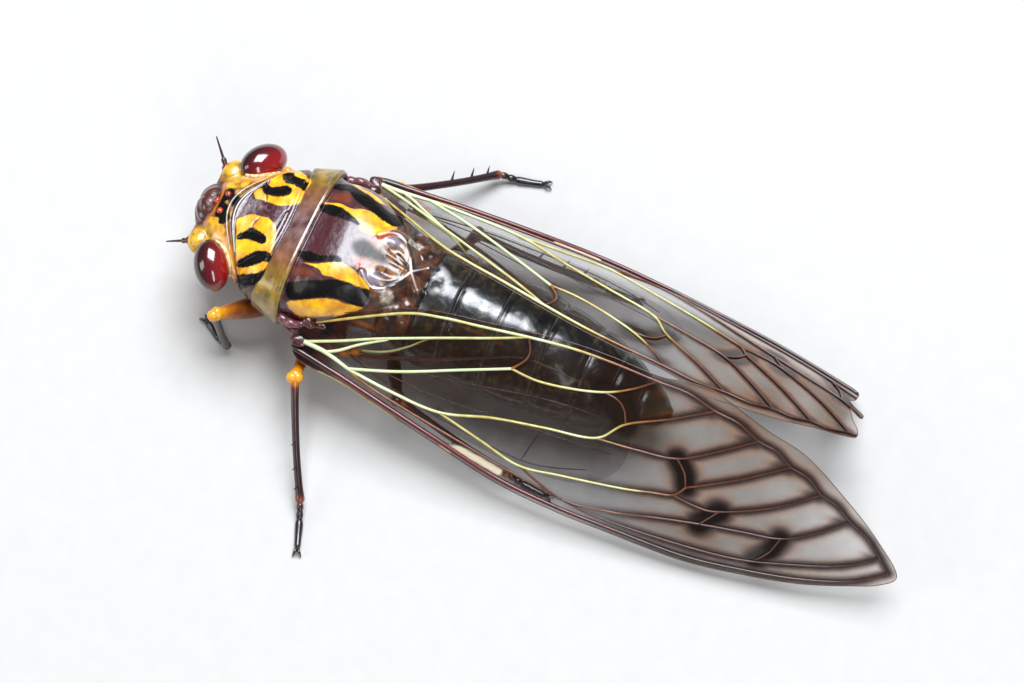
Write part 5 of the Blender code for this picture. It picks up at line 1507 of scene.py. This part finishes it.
def vein_tubes(side, paths, lift, end_clear):
    """Round tubes along the paths that end_clear keeps, joined into one list of pieces."""
    tubes = []
    for path in paths:
        keep = end_clear(path[:, 0], path[:, 1])
        run = path[keep]
        if len(run) < 4:
            continue
        spots = on_wing(side, run[:, 0], run[:, 1], np.full(len(run), lift))
        route = np.column_stack([spots, run[:, 2] * VEIN_SCALE])
        made, quads, fans = swept(route, VEIN_SIDES)
        tints = np.concatenate([np.repeat(run[:, 3], VEIN_SIDES), [run[0, 3], run[-1, 3]]])
        tubes.append((made, quads, fans, tints))
    return joined(tubes)


for side_name, side in SIDES:
    wing_outline = OUTLINE if side > 0 else torn_outline
    flat, triangles = cut_sheet(wing_outline, MEMBRANE_STEP)
    u, v = flat[:, 0], flat[:, 1]
    nearest = np.full(len(u), FAR)
    cloud = np.zeros(len(u))
    for name, path in vein_paths.items():
        away, _ = line_distance(path, u, v)
        nearest = np.minimum(nearest, away)
        if name in CLOUD_LINES:
            width, strength = CLOUD_LINES[name]
            cloud = np.maximum(cloud, strength * ridge(away, width))
    lift = BILLOW * rise(nearest, 0.0, BILLOW_REACH)
    cloud = np.maximum(cloud, VEIN_SMOKE * ridge(nearest, VEIN_SMOKE_WIDTH) * rise(u, *VEIN_SMOKE_FROM))
    cloud = np.maximum(cloud, spots_of(CLOUD_ENDS, u, v))
    ambient = vein_paths["ambient"]
    costal = vein_paths["costal"]
    border = (v > np.interp(u, ambient[:, 0], ambient[:, 1])) | (v < np.interp(u, costal[:, 0], costal[:, 1]))
    cloud = np.maximum(cloud, BORDER_SMOKE * border * rise(u, *BORDER_SMOKE_FROM))
    cloud = np.maximum(cloud, ROOT_SMOKE * (1 - rise(u, *ROOT_SMOKE_TO)))
    cloud = np.clip(cloud, 0.0, 1.0)
    streak, gone = line_distance(CREAM_STREAK[side], u, v)
    cream = rise(ridge(streak, STREAK_WIDTH) * (1 - rise(gone, 0.9, 1.0)), 0.15, 0.75)
    placed, walls, faces = vane(side, flat, triangles, lift)
    membrane = shaped("wing_membrane_" + side_name, placed, walls, faces, wing_clear)
    membrane.data.set_sharp_from_angle(angle=RIM_ANGLE)
    mark(membrane, "cloud", np.tile(cloud, 2))
    mark(membrane, "amber", np.tile(spots_of(AMBER_FIELDS, u, v), 2))
    mark(membrane, "cream", np.tile(cream, 2))
    mark(membrane, "root", np.tile(1 - rise(u, *ROOT_SMOKE_TO), 2))
    mark(membrane, "outer", np.tile(rise(u, *OUTER_FROM), 2))
    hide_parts("forewing_" + side_name)
    rim_line = smooth_loop(wing_outline, RIM_PARTS)
    hem = np.vstack([rim_line, rim_line[:1]])
    olive_edge = (hem[:, 0] > OLIVE_EDGE[0]) & (hem[:, 0] < OLIVE_EDGE[1]) & (hem[:, 1] < -2.0)
    hem_radii = np.where(olive_edge, 2.0 * HEM_RADIUS, HEM_RADIUS)
    hem = np.column_stack([hem, hem_radii, np.where(olive_edge, OLIVE_TINT, HEM_TINT)])
    paths = [*vein_paths.values(), hem]
    if side > 0:
        parts = vein_tubes(side, paths, VEIN_LIFT, lambda u, v: np.ones(len(u), bool))
    else:
        parts = vein_tubes(side, paths, VEIN_LIFT, lambda u, v: inside_by_loop(rim_line, u, v) > -0.05)
    veins = tinted("wing_veins_" + side_name, parts, vein_cuticle)

# The hind wings are shorter fans of the same clear membrane and thin dark veins, folded close
# under the forewings. A row of small orange-brown knobs joins each of them to the thorax.
HIND_SINK = 0.87
HIND_STEP = 0.3
HIND_HAZE = -0.05
HIND_ROOT = (2.4, -1.4)
HIND_OUTLINE = (
    (2.0, -1.9), (7.0, -3.6), (12.0, -4.8), (18.0, -5.6), (22.0, -5.2), (24.4, -3.4), (24.9, -0.8),
    (23.4, 1.8), (19.4, 3.3), (14.0, 3.6), (9.0, 2.8), (5.0, 1.1), (2.4, -0.4),
)
HIND_VEINS = (
    ((*HIND_ROOT, 0.09, 0.6), (7.0, -3.1, 0.08, 0.7), (12.0, -4.2, 0.07, 0.8), (18.0, -5.0, 0.06, 0.85),
     (22.4, -3.9, 0.05, 0.85)),
    ((*HIND_ROOT, 0.08, 0.6), (9.0, -2.4, 0.06, 0.75), (17.0, -2.2, 0.05, 0.8), (23.8, -2.0, 0.04, 0.85)),
    ((*HIND_ROOT, 0.14, 0.6), (4.6, -1.35, 0.2, 0.75), (7.2, -0.45, 0.2, 0.8), (9.4, 0.3, 0.17, 0.8),
     (12.8, 1.75, 0.1, 0.8), (15.9, 2.85, 0.07, 0.85), (20.0, 2.6, 0.05, 0.85)),
    ((*HIND_ROOT, 0.11, 0.4), (4.5, -0.95, 0.13, 0.1), (6.0, -0.35, 0.13, 0.1), (7.3, 0.55, 0.11, 0.15),
     (8.5, 1.6, 0.08, 0.35), (10.0, 2.4, 0.06, 0.5)),
    ((8.0, -1.2, 0.07, 0.7), (12.0, -0.6, 0.06, 0.75), (18.0, 0.4, 0.05, 0.8), (23.6, 0.6, 0.04, 0.85)),
    ((17.6, -4.9, 0.05, 0.8), (18.4, -2.2, 0.05, 0.8)),
)
HIND_FIELDS = (((4.6, -1.1), 1.8, 0.5, 0.2), ((9.5, 1.6), 3.0, 0.25, 0.12), ((8.5, -0.2), 3.5, 0.2, 0.15))
ROOT_LUMPS = (
    (2.65, -1.5, 0.32), (3.1, -1.32, 0.4), (3.35, -0.98, 0.26), (3.6, -1.15, 0.32), (3.95, -0.98, 0.26),
)
ROOT_LUMP_SINK = 0.42
for side_name, side in SIDES:
    lumps = []
    for u, v, size in ROOT_LUMPS:
        spot = on_wing(side, np.array([u]), np.array([v]), np.array([-ROOT_LUMP_SINK]))[0]
        lump, quads, fans = egg((spot, (size * 0.75, size, size * 0.7), (-0.5 * side, 0.0, 0.8)), 32, 20)
        wrinkle = np.sin(9.1 * lump[:, 0]) * np.sin(8.3 * lump[:, 1] + 1.0)
        lump = spot + (lump - spot) * (1 + 0.14 * wrinkle)[:, None]
        lumps.append((lump, quads, fans, 0.2 + 0.25 * wrinkle))
    parts = joined(lumps)
    sclerite = tinted("hind_wing_sclerite_" + side_name, parts, limb_cuticle)
    flat, triangles = cut_sheet(HIND_OUTLINE, HIND_STEP)
    u, v = flat[:, 0], flat[:, 1]
    placed, walls, faces = vane(side, flat, triangles, np.full(len(u), -HIND_SINK))
    membrane = shaped("hind_membrane_" + side_name, placed, walls, faces, wing_clear)
    membrane.data.set_sharp_from_angle(angle=RIM_ANGLE)
    mark(membrane, "cloud", np.full(len(u) * 2, HIND_HAZE))
    mark(membrane, "amber", np.tile(spots_of(HIND_FIELDS, u, v), 2))
    for name in ("cream", "root", "outer"):
        mark(membrane, name, np.zeros(len(u) * 2))
    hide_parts("hindwing_" + side_name)
    paths = [smooth_path(knots, HIND_STEP) for knots in HIND_VEINS]
    parts = vein_tubes(side, paths, -HIND_SINK, lambda u, v: np.ones(len(u), bool))
    veins = tinted("hind_veins_" + side_name, parts, vein_cuticle)
